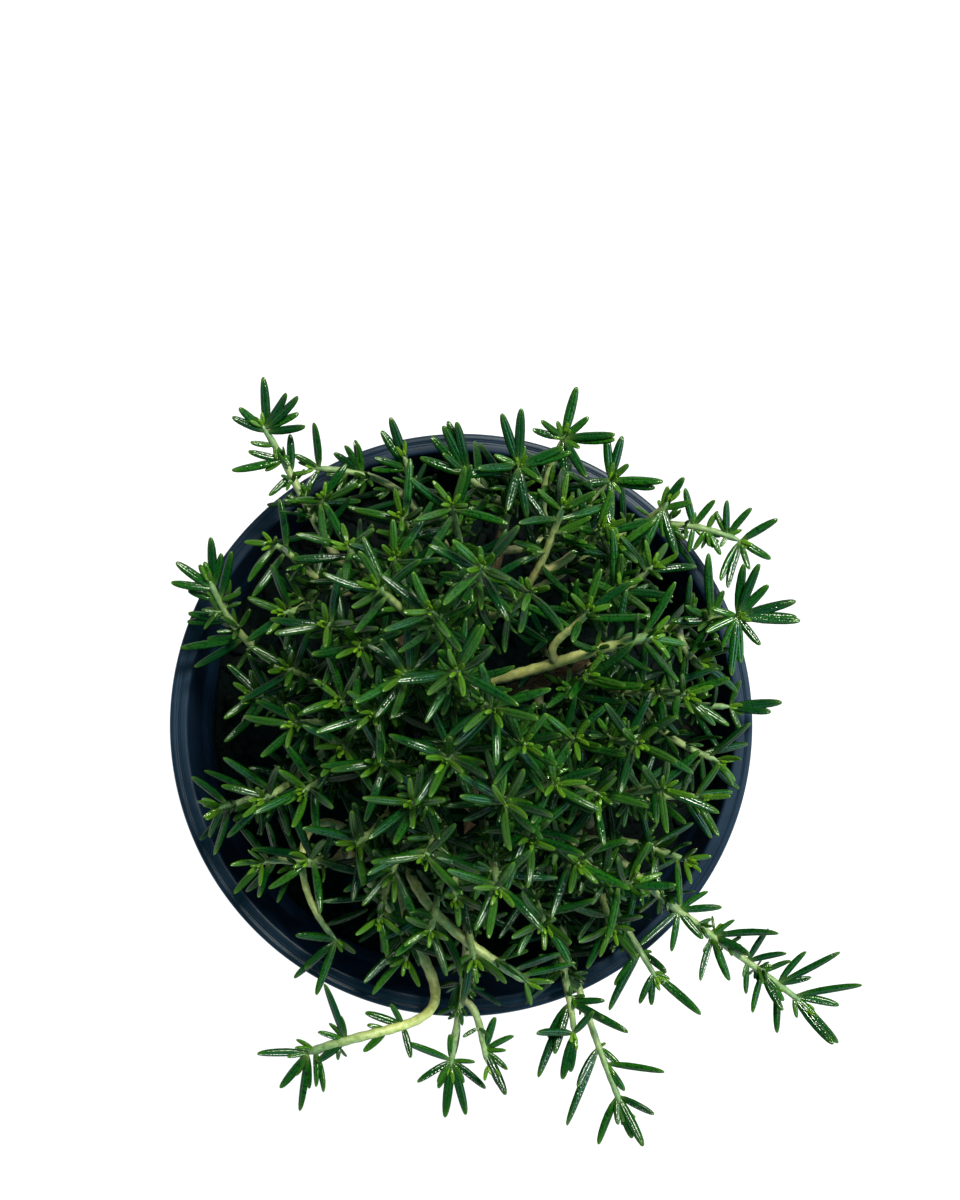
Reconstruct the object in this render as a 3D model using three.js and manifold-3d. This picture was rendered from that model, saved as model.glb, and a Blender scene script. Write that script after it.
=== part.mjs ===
// A rosemary plant in a round plastic nursery pot. Millimetres, +Z up.
// The origin is the middle of the pot's flat foot, which stands on the plane z = 0.
import * as THREE from 'three';
import { mergeVertices } from 'three/addons/utils/BufferGeometryUtils.js';
import Module from 'manifold-3d';

const wasm = await Module();
wasm.setup();

// ---- Driving dimensions, in mm ---------------------------------------------------------------------

const GAP = 0.35; // clearance between neighbouring pieces

const POT_HEIGHT = 130;
const RIM_RADIUS = 85;
const LIP_WIDTH = 5.4; // the flat top of the turned-over lip
const LIP_THICKNESS = 2;
const SKIRT_HEIGHT = 15; // how far the lip is turned down outside the wall
const COLLAR_HEIGHT = 24; // the steep top stretch of the wall, above the small step
const COLLAR_TAPER = 0.9; // how much narrower the collar is at its foot than at the lip
const STEP_WIDTH = 1.5;
const WALL = 1.6;
const FOOT_RADIUS = 62;
const FOOT_EDGE = 1.5; // bevel round the foot
const FOOT_SLANT = 0.2; // how much thinner the wall is at its foot
const STEP_SLANT = 1; // how far the step slopes down on the wall's inner face
const LIP_EDGE = 1.2; // bevel of the lip
const FLOOR_THICKNESS = 1.8;
const POT_SIDES = 40;
const HOLE_SIDES = 10;

const DRAIN_HOLES = 8;
const DRAIN_RADIUS = 5;
const DRAIN_CIRCLE_RADIUS = 46;

const SOIL_EDGE_HEIGHT = 99;
const SOIL_MIDDLE_HEIGHT = 103;
const SOIL_SIDES = 20;
const SOIL_MOUND = [[0.7, 100.5], [0.35, 102.5]]; // [share of the rim's radius, height]

const ROOTED_DEPTH = 16; // how deep a woody stem stands in the soil
const WOODY_FOOT_RADIUS = 2.5;
const WOODY_TOP_RADIUS = 1.5;
const WOODY_RISE = 0.6; // share of a woody stem's height that its first, upright stretch aims at
const WOODY_LEAN = [0.55, 0.85]; // shares of its lean and of its height that its last stretch starts from
const WOODY_SIDES = 6;
const WOODY_STEPS = 6;

const SHOOT_RADII = [1.25, 0.85]; // at its foot and at its tip
const SHOOT_SWEEP = [0.35, 0.4];
const SHOOT_SIDES = 4;
const SHOOT_STEPS = 6;

const LEAF_LENGTH = 15;
const YOUNG_LEAF_LENGTH = 12;
const LEAF_WIDTH = 2.8;
const LEAF_THICKNESS = 1.5;
const LEAF_PAIR_STEP = 9; // along the shoot, from one pair to the next
const MOST_LEAF_PAIRS = 4;
const FULL_GROWN_PAIR = 2; // the pairs before it, towards the shoot's tip, are younger and smaller
const LEAF_START = 0.3; // from the shoot's axis to the leaf's base, inside the stem
const LEAF_NECK = 0.15; // share of a leaf's length that stays beside its own stem
const LEAF_BLADE = [0.2, 0.8]; // shares of the length between which the leaf has its full width
const FIRST_PAIR = 1; // from the shoot's tip to the youngest pair
const BARE_FRACTION = 0.3; // the inner part of a shoot carries no leaves
const YOUNG_LEAF_ANGLE = 28; // degrees from the shoot's axis
const OLD_LEAF_ANGLE = 64;

// ---- The plant: woody stems, their shoots and side shoots -------------------------------------------
// A woody stem stands in the soil at foot [x, y] and ends at top [x, y, z].
// A shoot leaves it at the fraction `along` of its length and ends at tip [x, y, z]. There it points at
// `heading` degrees from +X towards +Y and climbs at `climb` degrees. A side shoot leaves its shoot.
// `leaving` is the [heading, climb] of a shoot that sets off another way than towards its tip, and
// `sweep` says how far it holds its first and last directions, in shares of the straight distance.
// `radii` are a thick shoot's radius at its foot and at its tip.

const WOODY_STEMS = [
  {
    name: 'centre', foot: [-3, 5], top: [0, 18, 174],
    shoots: [
      { along: 1, tip: [-7, 34, 213], heading: 110, climb: 76,
        side: { along: 0.35, tip: [-21, 40, 198], heading: 135, climb: 60 } },
      { along: 0.9, tip: [6, 45, 217], heading: 80, climb: 74,
        side: { along: 0.4, tip: [19, 39, 203], heading: 40, climb: 66 } },
      { along: 0.8, tip: [-14, 17, 204], heading: 190, climb: 74 },
      { along: 0.95, tip: [0, 19, 222], heading: 300, climb: 86 },
      { along: 0.7, tip: [9, 9, 214], heading: 320, climb: 78,
        side: { along: 0.4, tip: [-3, -4, 208], heading: 230, climb: 74 } },
      { along: 0.6, tip: [-22, 7, 196], heading: 200, climb: 66 },
      { along: 0.85, tip: [51, 27, 188], heading: 12, climb: 22, radii: [1.5, 1.25],
        side: { along: 0.5, tip: [34, 34, 190], heading: 70, climb: 55 } },
    ],
  },
  {
    name: 'middle', foot: [5, -5], top: [9, -15, 166],
    shoots: [
      { along: 1, tip: [12, -15, 210], heading: 280, climb: 84,
        side: { along: 0.4, tip: [25, -11, 200], heading: 350, climb: 70 } },
      { along: 0.9, tip: [10, -38, 200], heading: 268, climb: 72,
        side: { along: 0.4, tip: [19, -26, 194], heading: 320, climb: 70 } },
      { along: 0.75, tip: [-12, -16, 197], heading: 185, climb: 72,
        side: { along: 0.5, tip: [-21, -6, 190], heading: 160, climb: 62 } },
      { along: 0.65, tip: [-9, -31, 192], heading: 235, climb: 66,
        side: { along: 0.5, tip: [-1, -43, 184], heading: 275, climb: 62 } },
      { along: 0.95, tip: [17, 0, 206], heading: 20, climb: 76 },
      { along: 0.8, tip: [37, -15, 186], heading: 345, climb: 62,
        side: { along: 0.45, tip: [31, 0, 188], heading: 20, climb: 66 } },
    ],
  },
  {
    name: 'west', foot: [-13, 2], top: [-42, 5, 150],
    shoots: [
      { along: 1, tip: [-58, 10, 158], heading: 178, climb: 42 },
      { along: 0.9, tip: [-70, 42, 154], heading: 108, climb: 32, sweep: [0.3, 0.75] },
      { along: 0.8, tip: [-68, -22, 152], heading: 192, climb: 22,
        side: { along: 0.5, tip: [-54, -18, 166], heading: 200, climb: 55 } },
      { along: 0.7, tip: [-45, 3, 174], heading: 190, climb: 68,
        side: { along: 0.45, tip: [-47, 18, 168], heading: 150, climb: 56 } },
      { along: 0.55, tip: [-32, 10, 184], heading: 160, climb: 72,
        side: { along: 0.45, tip: [-31, -3, 182], heading: 230, climb: 66 } },
      { along: 0.62, tip: [-42, -15, 176], heading: 215, climb: 60 },
    ],
  },
  {
    name: 'north_west', foot: [-9, 13], top: [-33, 46, 148],
    shoots: [
      { along: 1, tip: [-55, 85, 157], heading: 122, climb: 34,
        side: { along: 0.45, tip: [-38, 65, 158], heading: 110, climb: 48 } },
      { along: 0.9, tip: [-52, 52, 160], heading: 160, climb: 48,
        side: { along: 0.4, tip: [-48, 33, 168], heading: 185, climb: 56 } },
      { along: 0.8, tip: [-30, 51, 178], heading: 115, climb: 62,
        side: { along: 0.5, tip: [-17, 48, 184], heading: 70, climb: 66 } },
      { along: 0.65, tip: [-35, 30, 188], heading: 170, climb: 66,
        side: { along: 0.55, tip: [-26, 24, 192], heading: 250, climb: 72 } },
    ],
  },
  {
    name: 'north', foot: [3, 17], top: [12, 56, 150],
    shoots: [
      { along: 1, tip: [16, 73, 169], heading: 80, climb: 62,
        side: { along: 0.35, tip: [2, 71, 161], heading: 130, climb: 50 } },
      { along: 0.92, tip: [42, 70, 154], heading: 42, climb: 36,
        side: { along: 0.4, tip: [29, 82, 159], heading: 66, climb: 44 } },
      { along: 0.84, tip: [-42, 74, 142], heading: 178, climb: 4, leaving: [110, 20], sweep: [0.55, 0.6],
        side: { along: 0.55, tip: [-16, 77, 150], heading: 112, climb: 40 } },
      { along: 0.76, tip: [28, 62, 176], heading: 70, climb: 44,
        side: { along: 0.5, tip: [39, 56, 168], heading: 30, climb: 48 } },
      { along: 0.66, tip: [-16, 59, 172], heading: 130, climb: 58,
        side: { along: 0.4, tip: [-2, 62, 178], heading: 95, climb: 68 } },
      { along: 0.7, tip: [79, 53, 149], heading: 336, climb: 8, sweep: [0.35, 0.6],
        side: { along: 0.66, tip: [58, 64, 155], heading: 60, climb: 40 } },
    ],
  },
  {
    name: 'east', foot: [14, 8], top: [46, 24, 152],
    shoots: [
      { along: 1, tip: [75, 32, 174], heading: 8, climb: 54,
        side: { along: 0.45, tip: [66, 19, 164], heading: 335, climb: 46 } },
      { along: 0.92, tip: [53, 46, 164], heading: 48, climb: 42,
        side: { along: 0.4, tip: [43, 52, 168], heading: 100, climb: 56 } },
      { along: 0.84, tip: [61, 11, 178], heading: 345, climb: 58 },
      { along: 0.76, tip: [77, 6, 141], heading: 0, climb: 12,
        side: { along: 0.5, tip: [73, -9, 149], heading: 340, climb: 24 } },
      { along: 0.66, tip: [43, 40, 178], heading: 60, climb: 62 },
      { along: 0.55, tip: [47, -1, 192], heading: 350, climb: 74,
        side: { along: 0.45, tip: [34, 17, 186], heading: 60, climb: 68 } },
    ],
  },
  {
    name: 'south_east', foot: [15, -7], top: [40, -32, 148],
    shoots: [
      { along: 1, tip: [99, -80, 137], heading: 322, climb: 0 },
      { along: 0.92, tip: [54, -13, 188], heading: 20, climb: 68,
        side: { along: 0.35, tip: [66, -18, 164], heading: 345, climb: 44 } },
      { along: 0.84, tip: [56, -72, 138], heading: 300, climb: 14,
        side: { along: 0.45, tip: [42, -55, 159], heading: 285, climb: 54 } },
      { along: 0.72, tip: [47, -39, 174], heading: 38, climb: 36,
        side: { along: 0.5, tip: [63, -36, 158], heading: 340, climb: 36 } },
      { along: 0.62, tip: [47, -111, 136], heading: 292, climb: -8,
        side: { along: 0.5, tip: [32, -86, 148], heading: 268, climb: 52 } },
      { along: 0.5, tip: [23, -52, 170], heading: 285, climb: 62,
        side: { along: 0.5, tip: [32, -34, 180], heading: 330, climb: 70 } },
    ],
  },
  {
    name: 'south', foot: [3, -18], top: [2, -56, 142],
    shoots: [
      { along: 1, tip: [-3, -98, 138], heading: 262, climb: 0,
        side: { along: 0.5, tip: [8, -96, 144], heading: 288, climb: 14 } },
      { along: 0.66, tip: [-8, -53, 174], heading: 250, climb: 66,
        side: { along: 0.5, tip: [4, -62, 166], heading: 290, climb: 54 } },
    ],
  },
  {
    name: 'south_west', foot: [-11, -11], top: [-34, -36, 144],
    shoots: [
      { along: 1, tip: [-42, -35, 166], heading: 195, climb: 58,
        side: { along: 0.4, tip: [-56, -37, 156], heading: 200, climb: 36 } },
      { along: 0.9, tip: [-35, -60, 146], heading: 314, climb: -4,
        leaving: [158, 14], sweep: [0.76, 0.8] },
      { along: 0.8, tip: [-22, -51, 165], heading: 265, climb: 60,
        side: { along: 0.5, tip: [-15, -64, 157], heading: 275, climb: 46 } },
      { along: 0.66, tip: [-28, -29, 176], heading: 190, climb: 70,
        side: { along: 0.5, tip: [-18, -37, 176], heading: 260, climb: 66 } },
      { along: 0.97, tip: [-43, -91, 150], heading: 206, climb: -25,
        leaving: [306, -18], sweep: [1.4, 0.7], radii: [1.55, 1.3] },
      { along: 0.55, tip: [19, -70, 155], heading: 328, climb: -12,
        leaving: [302, 18], sweep: [0.24, 0.93], radii: [1.5, 1.2] },
    ],
  },
];

// ---- Materials -------------------------------------------------------------------------------------

const plastic = new THREE.MeshStandardMaterial({ color: 0x16202a, roughness: 0.5, metalness: 0 });
const soil = new THREE.MeshStandardMaterial({ color: 0x241a14, roughness: 0.95, metalness: 0 });
const bark = new THREE.MeshStandardMaterial({ color: 0x6d5138, roughness: 0.85, metalness: 0 });
const foliage = new THREE.MeshStandardMaterial({ color: 0x2c5a1e, roughness: 0.4, metalness: 0 });

// ---- Closed solids ---------------------------------------------------------------------------------

/** The same surface with shared vertices and without the triangles that merging made into lines. */
function closed(geometry) {
  const bare = geometry.clone();
  bare.deleteAttribute('normal');
  bare.deleteAttribute('uv');
  const merged = mergeVertices(bare, 1e-4);
  const corners = merged.index.array;
  const kept = [];
  for (let i = 0; i < corners.length; i += 3) {
    const [a, b, c] = [corners[i], corners[i + 1], corners[i + 2]];
    if (a !== b && b !== c && c !== a) kept.push(a, b, c);
  }
  merged.setIndex(kept);
  return merged;
}

function toSolid(geometry) {
  const surface = closed(geometry);
  return new wasm.Manifold(new wasm.Mesh({
    numProp: 3,
    vertProperties: new Float32Array(surface.attributes.position.array),
    triVerts: new Uint32Array(surface.index.array),
  }));
}

function toGeometry(solid) {
  const mesh = solid.getMesh();
  const geometry = new THREE.BufferGeometry();
  geometry.setAttribute('position', new THREE.BufferAttribute(mesh.vertProperties, 3));
  geometry.setIndex(new THREE.BufferAttribute(mesh.triVerts, 1));
  return geometry;
}

/** A solid of revolution about +Z from [radius, height] points that start and end on the axis. */
function turned(outline, sides) {
  const points = outline.map(([radius, height]) => new THREE.Vector2(radius, height));
  return closed(new THREE.LatheGeometry(points, sides).rotateX(Math.PI / 2));
}

/** A closed tube along a curve, thinning evenly from one radius to the other. */
function taperedTube(curve, startRadius, endRadius, sides, steps) {
  const tube = new THREE.CylinderGeometry(endRadius, startRadius, 1, sides, steps);
  const { normals, binormals } = curve.computeFrenetFrames(steps);
  const position = tube.attributes.position;
  for (let i = 0; i < position.count; i += 1) {
    const step = Math.round((position.getY(i) + 0.5) * steps);
    const place = curve.getPointAt(step / steps)
      .addScaledVector(normals[step], position.getZ(i))
      .addScaledVector(binormals[step], position.getX(i));
    position.setXYZ(i, place.x, place.y, place.z);
  }
  return closed(tube);
}

// ---- Pot and soil ----------------------------------------------------------------------------------

const collarFoot = POT_HEIGHT - COLLAR_HEIGHT;
const wallTopRadius = RIM_RADIUS - LIP_WIDTH + WALL;
const collarFootRadius = wallTopRadius - COLLAR_TAPER;
const wallInnerFoot = [FOOT_RADIUS - WALL + FOOT_SLANT, FLOOR_THICKNESS];
const wallInnerTop = [collarFootRadius - STEP_WIDTH - WALL, collarFoot - STEP_WIDTH - STEP_SLANT];

/** Radius of the wall's inner face at a height below the collar. */
function innerRadius(height) {
  const share = (height - wallInnerFoot[1]) / (wallInnerTop[1] - wallInnerFoot[1]);
  return THREE.MathUtils.lerp(wallInnerFoot[0], wallInnerTop[0], share);
}

function makePot() {
  const skirtTaper = 0.3;
  const underLip = POT_HEIGHT - LIP_THICKNESS;
  const skirtFoot = POT_HEIGHT - SKIRT_HEIGHT;
  const body = turned([
    [0, 0],
    [FOOT_RADIUS - FOOT_EDGE, 0],
    [FOOT_RADIUS, FOOT_EDGE],
    [collarFootRadius - STEP_WIDTH, collarFoot - STEP_WIDTH],
    [collarFootRadius, collarFoot],
    [wallTopRadius, underLip],
    [RIM_RADIUS - WALL, underLip],
    [RIM_RADIUS - WALL - skirtTaper, skirtFoot],
    [RIM_RADIUS - skirtTaper, skirtFoot],
    [RIM_RADIUS, POT_HEIGHT - 2 * LIP_EDGE],
    [RIM_RADIUS - LIP_EDGE, POT_HEIGHT],
    [wallTopRadius - WALL + LIP_EDGE, POT_HEIGHT],
    [wallTopRadius - WALL, POT_HEIGHT - LIP_EDGE],
    [collarFootRadius - WALL, collarFoot],
    wallInnerTop,
    wallInnerFoot,
    [0, FLOOR_THICKNESS],
  ], POT_SIDES);
  let pot = toSolid(body);
  for (let i = 0; i < DRAIN_HOLES; i += 1) {
    const angle = (2 * Math.PI * (i + 0.5)) / DRAIN_HOLES;
    const hole = new THREE.CylinderGeometry(DRAIN_RADIUS, DRAIN_RADIUS, 4 * FLOOR_THICKNESS, HOLE_SIDES);
    hole.rotateX(Math.PI / 2);
    hole.translate(Math.cos(angle) * DRAIN_CIRCLE_RADIUS, Math.sin(angle) * DRAIN_CIRCLE_RADIUS, 0);
    pot = pot.subtract(toSolid(hole));
  }
  return toGeometry(pot);
}

/** The soil fills the pot below its surface, and each woody stem stands in a socket of its own. */
function makeSoil(stems) {
  const floor = FLOOR_THICKNESS + GAP;
  const body = turned([
    [0, floor],
    [innerRadius(floor) - GAP, floor],
    [innerRadius(SOIL_EDGE_HEIGHT) - GAP, SOIL_EDGE_HEIGHT],
    ...SOIL_MOUND.map(([share, height]) => [share * RIM_RADIUS, height]),
    [0, SOIL_MIDDLE_HEIGHT],
  ], SOIL_SIDES);
  let ground = toSolid(body);
  for (const stem of stems) {
    const socket = taperedTube(
      woodyCurve(stem, ROOTED_DEPTH + GAP),
      WOODY_FOOT_RADIUS + 2 * GAP,
      WOODY_TOP_RADIUS + 2 * GAP,
      WOODY_SIDES,
      WOODY_STEPS,
    );
    ground = ground.subtract(toSolid(socket));
  }
  return toGeometry(ground);
}

// ---- Stem routes -----------------------------------------------------------------------------------

/** A woody stem rises straight out of the soil and then leans over towards its top. */
function woodyCurve({ foot, top }, rootedDepth) {
  const bottom = SOIL_MIDDLE_HEIGHT - rootedDepth;
  const end = new THREE.Vector3(...top);
  const start = new THREE.Vector3(foot[0], foot[1], bottom);
  const [leanShare, heightShare] = WOODY_LEAN;
  const rise = new THREE.Vector3(foot[0], foot[1], THREE.MathUtils.lerp(bottom, end.z, WOODY_RISE));
  const lean = new THREE.Vector3(
    THREE.MathUtils.lerp(foot[0], end.x, leanShare),
    THREE.MathUtils.lerp(foot[1], end.y, leanShare),
    THREE.MathUtils.lerp(bottom, end.z, heightShare),
  );
  return new THREE.CubicBezierCurve3(start, rise, lean, end);
}

function pointing(heading, climb) {
  const turn = THREE.MathUtils.degToRad(heading);
  const lift = THREE.MathUtils.degToRad(climb);
  return new THREE.Vector3(
    Math.cos(lift) * Math.cos(turn),
    Math.cos(lift) * Math.sin(turn),
    Math.sin(lift),
  );
}

/**
 * A shoot leaves its parent at a right angle on the side of its own tip, a small gap off the parent's
 * skin, or goes straight on where it grows from the parent's end. A side shoot starts inside its parent.
 */
function shootCurve(parentCurve, skin, { along, tip, heading, climb, leaving, sweep = SHOOT_SWEEP }) {
  const end = new THREE.Vector3(...tip);
  const origin = parentCurve.getPointAt(along);
  const grain = parentCurve.getTangentAt(along);
  const wanted = leaving ? pointing(...leaving) : end.clone().sub(origin);
  const outward = along === 1 ? grain : wanted.projectOnPlane(grain).normalize();
  const start = origin.clone().addScaledVector(outward, along === 1 ? Math.min(skin, GAP) : skin);
  const reach = start.distanceTo(end);
  const first = start.clone().addScaledVector(outward, sweep[0] * reach);
  const last = end.clone().addScaledVector(pointing(heading, climb), -sweep[1] * reach);
  return new THREE.CubicBezierCurve3(start, first, last, end);
}

// ---- Room between the pieces -----------------------------------------------------------------------
// Every stretch of stem and every leaf is remembered as a rounded rod, so that a leaf can be left out
// where it would run into a neighbour's.

const rods = [];

function addRod(owner, from, to, radius) {
  rods.push({ owner, line: new THREE.Line3(from, to), radius });
}

function addCurveRods(owner, curve, radius) {
  const points = curve.getSpacedPoints(2 * SHOOT_STEPS);
  for (let i = 1; i < points.length; i += 1) addRod(owner, points[i - 1], points[i], radius);
}

function clearOfNeighbours(owner, line, radius) {
  return rods.every((rod) => {
    if (rod.owner === owner) return true;
    const room = rod.radius + radius + GAP;
    return rod.line.distanceSqToLine3(line) > room * room;
  });
}

function clearOfPot(line, radius) {
  const room = radius + GAP;
  for (let share = 0; share <= 1; share += 0.125) {
    const point = line.at(share, new THREE.Vector3());
    const distance = Math.hypot(point.x, point.y);
    if (point.z - room > POT_HEIGHT) continue;
    if (distance > RIM_RADIUS + room) continue;
    const wall = point.z > collarFoot ? collarFootRadius - WALL : innerRadius(point.z);
    if (distance + room > wall) return false;
    if (point.z - room < SOIL_MIDDLE_HEIGHT) return false;
  }
  return true;
}

// ---- Leaves and shoots -----------------------------------------------------------------------------

/** A narrow leaf of unit length along +Y: flat on top, keeled below, with parallel sides. */
const leafBlank = new THREE.LatheGeometry(
  [[0, 0], [0.5, LEAF_BLADE[0]], [0.5, LEAF_BLADE[1]], [0, 1]].map((point) => new THREE.Vector2(...point)),
  3,
);
const BLANK_WIDTH = 0.866; // across the blank's flat side

function makeLeaf(base, direction, shootAxis, length) {
  const across = direction.clone().cross(shootAxis).normalize();
  const below = across.clone().cross(direction);
  const placed = new THREE.Matrix4().makeBasis(
    across.multiplyScalar(LEAF_WIDTH / BLANK_WIDTH),
    direction.clone().multiplyScalar(length),
    below.multiplyScalar(LEAF_THICKNESS),
  ).setPosition(base);
  return leafBlank.clone().applyMatrix4(placed);
}

/** A point on the straight-sided tube's own axis, between two of its rings. */
function tubeAxisPoint(curve, at) {
  const ring = Math.min(Math.floor(at * SHOOT_STEPS), SHOOT_STEPS - 1);
  const next = curve.getPointAt((ring + 1) / SHOOT_STEPS);
  return curve.getPointAt(ring / SHOOT_STEPS).lerp(next, at * SHOOT_STEPS - ring);
}

/** Opposite pairs, each turned a quarter turn from the next; the youngest stand closest to the tip. */
function leafPlaces(curve) {
  const length = curve.getLength();
  const places = [];
  const pairs = Math.min(MOST_LEAF_PAIRS, Math.floor(((1 - BARE_FRACTION) * length) / LEAF_PAIR_STEP));
  for (let pair = 0; pair < pairs; pair += 1) {
    const age = Math.min(1, pair / FULL_GROWN_PAIR);
    const at = 1 - (FIRST_PAIR + pair * LEAF_PAIR_STEP) / length;
    const axis = curve.getTangentAt(at);
    const angle = THREE.MathUtils.degToRad(THREE.MathUtils.lerp(YOUNG_LEAF_ANGLE, OLD_LEAF_ANGLE, age));
    const sideways = new THREE.Vector3(-axis.y, axis.x, 0).normalize();
    for (const half of [0, 1]) {
      const turn = (pair + 2 * half) * (Math.PI / 2) + Math.PI / 4;
      const outward = sideways.clone().applyAxisAngle(axis, turn);
      const direction = axis.clone().multiplyScalar(Math.cos(angle))
        .addScaledVector(outward, Math.sin(angle));
      const size = THREE.MathUtils.lerp(YOUNG_LEAF_LENGTH, LEAF_LENGTH, age);
      const base = tubeAxisPoint(curve, at).addScaledVector(direction, LEAF_START);
      places.push({ base, direction, axis, size });
    }
  }
  return places;
}

function growArm(owner, { curve, radii }) {
  let arm = toSolid(taperedTube(curve, ...radii, SHOOT_SIDES, SHOOT_STEPS));
  for (const { base, direction, axis, size } of leafPlaces(curve)) {
    const tip = base.clone().addScaledVector(direction, size);
    const neck = base.clone().addScaledVector(direction, LEAF_NECK * size);
    const line = new THREE.Line3(neck, tip);
    const radius = LEAF_WIDTH / 2;
    if (!clearOfNeighbours(owner, line, radius) || !clearOfPot(line, radius)) continue;
    addRod(owner, line.start, line.end, radius);
    arm = arm.add(toSolid(makeLeaf(base, direction, axis, size)));
  }
  return arm;
}

// ---- Assembly --------------------------------------------------------------------------------------

const plant = new THREE.Group();

function addPiece(name, geometry, material) {
  const mesh = new THREE.Mesh(geometry, material);
  mesh.name = name;
  plant.add(mesh);
}

addPiece('pot', makePot(), plastic);
addPiece('soil', makeSoil(WOODY_STEMS), soil);

const shoots = [];
for (const stem of WOODY_STEMS) {
  const stemName = `woody_stem_${stem.name}`;
  const stemCurve = woodyCurve(stem, ROOTED_DEPTH);
  const wood = taperedTube(stemCurve, WOODY_FOOT_RADIUS, WOODY_TOP_RADIUS, WOODY_SIDES, WOODY_STEPS);
  addPiece(stemName, wood, bark);
  addCurveRods(stemName, stemCurve, WOODY_FOOT_RADIUS);
  stem.shoots.forEach((shoot, index) => {
    const name = `shoot_${stem.name}_${index + 1}`;
    const skin = THREE.MathUtils.lerp(WOODY_FOOT_RADIUS, WOODY_TOP_RADIUS, shoot.along);
    const main = shootCurve(stemCurve, skin + GAP, shoot);
    const arms = [{ curve: main, radii: shoot.radii ?? SHOOT_RADII }];
    if (shoot.side) arms.push({ curve: shootCurve(main, 0, shoot.side), radii: SHOOT_RADII });
    arms.forEach(({ curve, radii }) => addCurveRods(name, curve, radii[0]));
    shoots.push({ name, arms });
  });
}

for (const { name, arms } of shoots) {
  const solid = arms.map((arm) => growArm(name, arm)).reduce((whole, arm) => whole.add(arm));
  addPiece(name, toGeometry(solid), foliage);
}

export default plant;
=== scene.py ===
"""A rosemary plant in a round plastic nursery pot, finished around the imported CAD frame.

Lengths in the plant's own tables are millimetres, as the plant is measured; everything that reaches
Blender is in metres, in the frame's axes: +Z up, the middle of the pot's foot at the origin.
"""
import math
import random

import bpy
import numpy as np
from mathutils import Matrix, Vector


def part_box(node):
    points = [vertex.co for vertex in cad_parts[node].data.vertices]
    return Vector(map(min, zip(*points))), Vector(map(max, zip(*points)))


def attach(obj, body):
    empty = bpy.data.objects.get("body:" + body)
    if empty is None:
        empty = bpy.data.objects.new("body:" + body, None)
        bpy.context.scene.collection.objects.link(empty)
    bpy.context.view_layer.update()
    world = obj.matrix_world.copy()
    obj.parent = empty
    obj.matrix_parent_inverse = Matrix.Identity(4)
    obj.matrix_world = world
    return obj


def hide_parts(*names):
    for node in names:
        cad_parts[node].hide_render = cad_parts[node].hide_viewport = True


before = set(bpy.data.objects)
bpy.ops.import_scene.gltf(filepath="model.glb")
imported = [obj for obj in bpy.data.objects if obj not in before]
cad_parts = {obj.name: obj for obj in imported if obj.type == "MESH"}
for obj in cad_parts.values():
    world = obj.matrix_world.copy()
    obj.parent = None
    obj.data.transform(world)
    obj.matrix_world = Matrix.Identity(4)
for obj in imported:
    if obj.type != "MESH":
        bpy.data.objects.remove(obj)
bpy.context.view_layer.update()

MM = 0.001
BODY = "root"
UP = np.array([0.0, 0.0, 1.0])

# ---- The pot, from the frame ----

RIM_RADIUS, _, POT_HEIGHT = (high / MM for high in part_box("pot")[1])
SOIL_MIDDLE_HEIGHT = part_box("soil")[1][2] / MM
SOIL_FALL = 4.0  # from its middle to its edge
SOIL_EDGE_HEIGHT = SOIL_MIDDLE_HEIGHT - SOIL_FALL

LIP_WIDTH = 5.4
LIP_THICKNESS = 2.0
LIP_GROOVE = (1.7, 3.1)  # from the lip's edge to where the shallow groove round it starts and ends
GROOVE_SLANT = 0.4
GROOVE_DEPTH = 0.35
LIP_DROP = 0.05  # of the lip inside the groove
SKIRT_HEIGHT, SKIRT_TAPER = 15.0, 0.3
COLLAR_HEIGHT, COLLAR_TAPER = 24.0, 0.9
STEP_WIDTH = 1.5
WALL = 1.6
FOOT_RADIUS = 62.0
FOOT_RING = 6.0
FLOOR_THICKNESS = 1.8
LIP_INNER_RADIUS = RIM_RADIUS - LIP_WIDTH
COLLAR_FOOT = POT_HEIGHT - COLLAR_HEIGHT
INNER_STEP_FOOT = COLLAR_FOOT - STEP_WIDTH - 1.0
INNER_FOOT_RADIUS = FOOT_RADIUS - WALL + 0.2
DRAIN_HOLES = 8
DRAIN_RADIUS = 5.0
DRAIN_CIRCLE_RADIUS = 46.0
DRAIN_SIDES = 40
POT_SIDES = 240
CORNER_STEPS = 4  # in each rounded corner of its outline

SOIL_SIDES = 160
SOIL_RINGS = 46
SOIL_GAP = 0.35  # between the soil and the pot
SOIL_CRUMB = 0.45  # how far chance lifts or sinks a point of its surface
SOIL_DROPS = (0.6, 0.4)  # of its surface under those two heights, to leave room for its lumps
MOUND_POWER = 1.4  # over 1, its middle is flatter
BROAD_LUMP, SMALL_LUMP = 0.7, 0.4
CHIPS = 900
CHIP_SIZES = [1.2, 1.6, 2.0, 2.4, 3.2, 4.4]
SOIL_RADIUS = 76.0
CHIP_REACH = 74.0
CHIP_SIDES = 7
CHIP_WIDTH, CHIP_HEIGHT = 0.55, 0.3  # shares of its size
CHIP_PROFILE = [(-0.8, 0.5), (-0.3, 0.9), (0.3, 1.0), (0.8, 0.6)]  # [place, girth] along it
CHIP_ROOM = (0.6, 0.8)  # near the wall: its size per mm of room there, and its least size
CHIP_LIFT = 0.25  # of its middle over the soil, as a share of its size
CHIP_CLIMB = (-18, 22)
CHIP_ROUGHNESS = (0.7, 1.2)

# ---- The photograph, taken from straight above ----

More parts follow.
